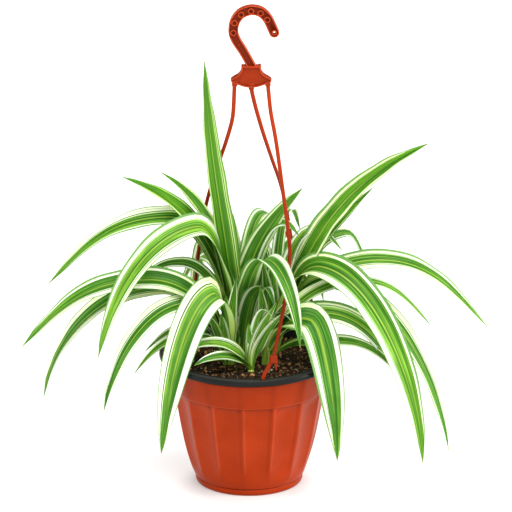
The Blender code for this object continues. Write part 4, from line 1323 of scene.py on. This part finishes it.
class HangerSettings(bpy.types.PropertyGroup):
    colour: colour_setting("Colour", "Colour of the hook and strands", (0.37, 0.040, 0.005))
    # The worn tone is partly real wear and partly a painted highlight on the hook's ribs and bosses
    wear_and_highlight: colour_setting("Worn", "Paler tone on the ribs", (0.55, 0.10, 0.035))
    web_thick: number("Web thickness", "Thickness between the hook's ribs, in millimetres", 2.2, 6.0, 0.5)
    rib_wide: number("Rib width", "Width of the hook's edge ribs, in millimetres", 1.5, 3.0, 0.5)


class StageSettings(bpy.types.PropertyGroup):
    floor_colour: colour_setting("Floor colour", "Colour of the floor", (0.60, 0.60, 0.60))
    glow: number("Floor glow", "Light given by the lit sweep under the plant", 0.46, 5.0)
    fill: number("Fill light", "Strength of the light from all round", 0.92, 5.0)
    key: number("Key light", "Strength of the soft light from the right", 1.6, 10.0)
    side: number("Side light", "Strength of the low lights from both sides", 1.1, 10.0)
    front: number("Front light", "Strength of the soft light from the front", 0.35, 10.0)
    distance: number("Camera distance", "From the plant to the camera", 16.0, 40.0, 1.0, "DISTANCE", "LENGTH")
    elevation: number("Camera elevation", "Angle above the horizon", math.radians(20.0), 1.5, subtype="ANGLE")


# Operators

class PLANT_OT_pot(bpy.types.Operator):
    """Build the fluted pot and its charcoal rim"""
    bl_idname = "plant.pot"
    bl_label = "Build Pot"

    def execute(self, context):
        make_pot_shell(context.scene.plant_pot)
        make_pot_rim(context.scene.plant_pot)
        return {"FINISHED"}


class PLANT_OT_soil(bpy.types.Operator):
    """Fill the pot with potting mix"""
    bl_idname = "plant.soil"
    bl_label = "Fill With Soil"

    def execute(self, context):
        settings = context.scene.plant_soil
        soil_body(settings)
        bark = fleck_surface("bark", (0.008, 0.004, 0.0015), (0.60, 0.32, 0.14), 0.9, 900.0)
        scatter_bits("soil_bark", settings.bark_count, (0.5, 2.7), 0.45, 1, bark, 11, 0.3)
        mineral = fleck_surface("perlite", (0.42, 0.40, 0.36), (0.88, 0.86, 0.82), 0.8, 1500.0)
        scatter_bits("soil_perlite", settings.perlite_count, (0.45, 1.3), 0.85, 2, mineral, 17, 0.4)
        coir = fleck_surface("coir", (0.10, 0.05, 0.022), (0.36, 0.21, 0.10), 0.85, 700.0)
        soil_fibres(settings.fibre_count, coir)
        return {"FINISHED"}


class PLANT_OT_leaves(bpy.types.Operator):
    """Grow the five crowns and their leaves"""
    bl_idname = "plant.leaves"
    bl_label = "Grow Leaves"

    def execute(self, context):
        settings = context.scene.plant_leaf
        blade = leaf_surface(settings)
        base = crown_surface(settings)
        seed = 0
        for crown in CROWNS:
            make_crown(crown, base)
            headings = []
            for name, _, heading, rise, crest, tip, end, *looks in crown_leaves(crown):
                inner = sum(1 for other in headings if abs((heading - other + 180) % 360 - 180) < SAME_SIDE)
                headings.append(heading)
                line = heading_line(min(ROOT_STEP * inner, ROOT_REACH_LIMIT), rise, crest, tip, end)
                seed += 1
                fresh = 0.0 if crest else 1.0 if heading < 0 and tip[1] > 340 else 0.6
                make_leaf(name, crown, heading, line, *looks, blade, settings, seed, fresh)
        return {"FINISHED"}


class PLANT_OT_hanger(bpy.types.Operator):
    """Build the hook with its plate and the three strands"""
    bl_idname = "plant.hanger"
    bl_label = "Build Hanger"

    def execute(self, context):
        settings = context.scene.plant_hanger
        surface = plastic_surface("hanger plastic", settings.colour, settings.wear_and_highlight, 0.34, 1300.0, 0.05)
        make_hanger_hook(surface, settings)
        for side in STRANDS:
            make_strand(side, surface)
        return {"FINISHED"}


class PLANT_OT_stage(bpy.types.Operator):
    """Set the floor, the lights and the camera"""
    bl_idname = "plant.stage"
    bl_label = "Set Stage"

    def execute(self, context):
        make_stage(context.scene.plant_stage)
        return {"FINISHED"}


class PLANT_PT_panel(bpy.types.Panel):
    """Lists the plant's steps and settings"""
    bl_idname = "PLANT_PT_panel"
    bl_label = "Spider Plant"
    bl_space_type = "VIEW_3D"
    bl_region_type = "UI"
    bl_category = "Spider Plant"

    def draw(self, context):
        for step, group in STEPS:
            box = self.layout.box()
            box.operator(step)
            settings = getattr(context.scene, group)
            for name in settings.__annotations__:
                box.prop(settings, name)


STEPS = [("plant.pot", "plant_pot"), ("plant.soil", "plant_soil"), ("plant.leaves", "plant_leaf"),
         ("plant.hanger", "plant_hanger"), ("plant.stage", "plant_stage")]
GROUPS = {"plant_pot": PotSettings, "plant_soil": SoilSettings, "plant_leaf": LeafSettings,
          "plant_hanger": HangerSettings, "plant_stage": StageSettings}
CLASSES = [*GROUPS.values(), PLANT_OT_pot, PLANT_OT_soil, PLANT_OT_leaves, PLANT_OT_hanger, PLANT_OT_stage,
           PLANT_PT_panel]


def register():
    for cls in CLASSES:
        bpy.utils.register_class(cls)
    for name, cls in GROUPS.items():
        setattr(bpy.types.Scene, name, PointerProperty(type=cls))


def unregister():
    for name in GROUPS:
        delattr(bpy.types.Scene, name)
    for cls in reversed(CLASSES):
        bpy.utils.unregister_class(cls)


def main():
    register()
    build_groups()
    bpy.ops.plant.pot()
    bpy.ops.plant.soil()
    bpy.ops.plant.leaves()
    bpy.ops.plant.hanger()
    bpy.ops.plant.stage()


if __name__ == "__main__":
    main()
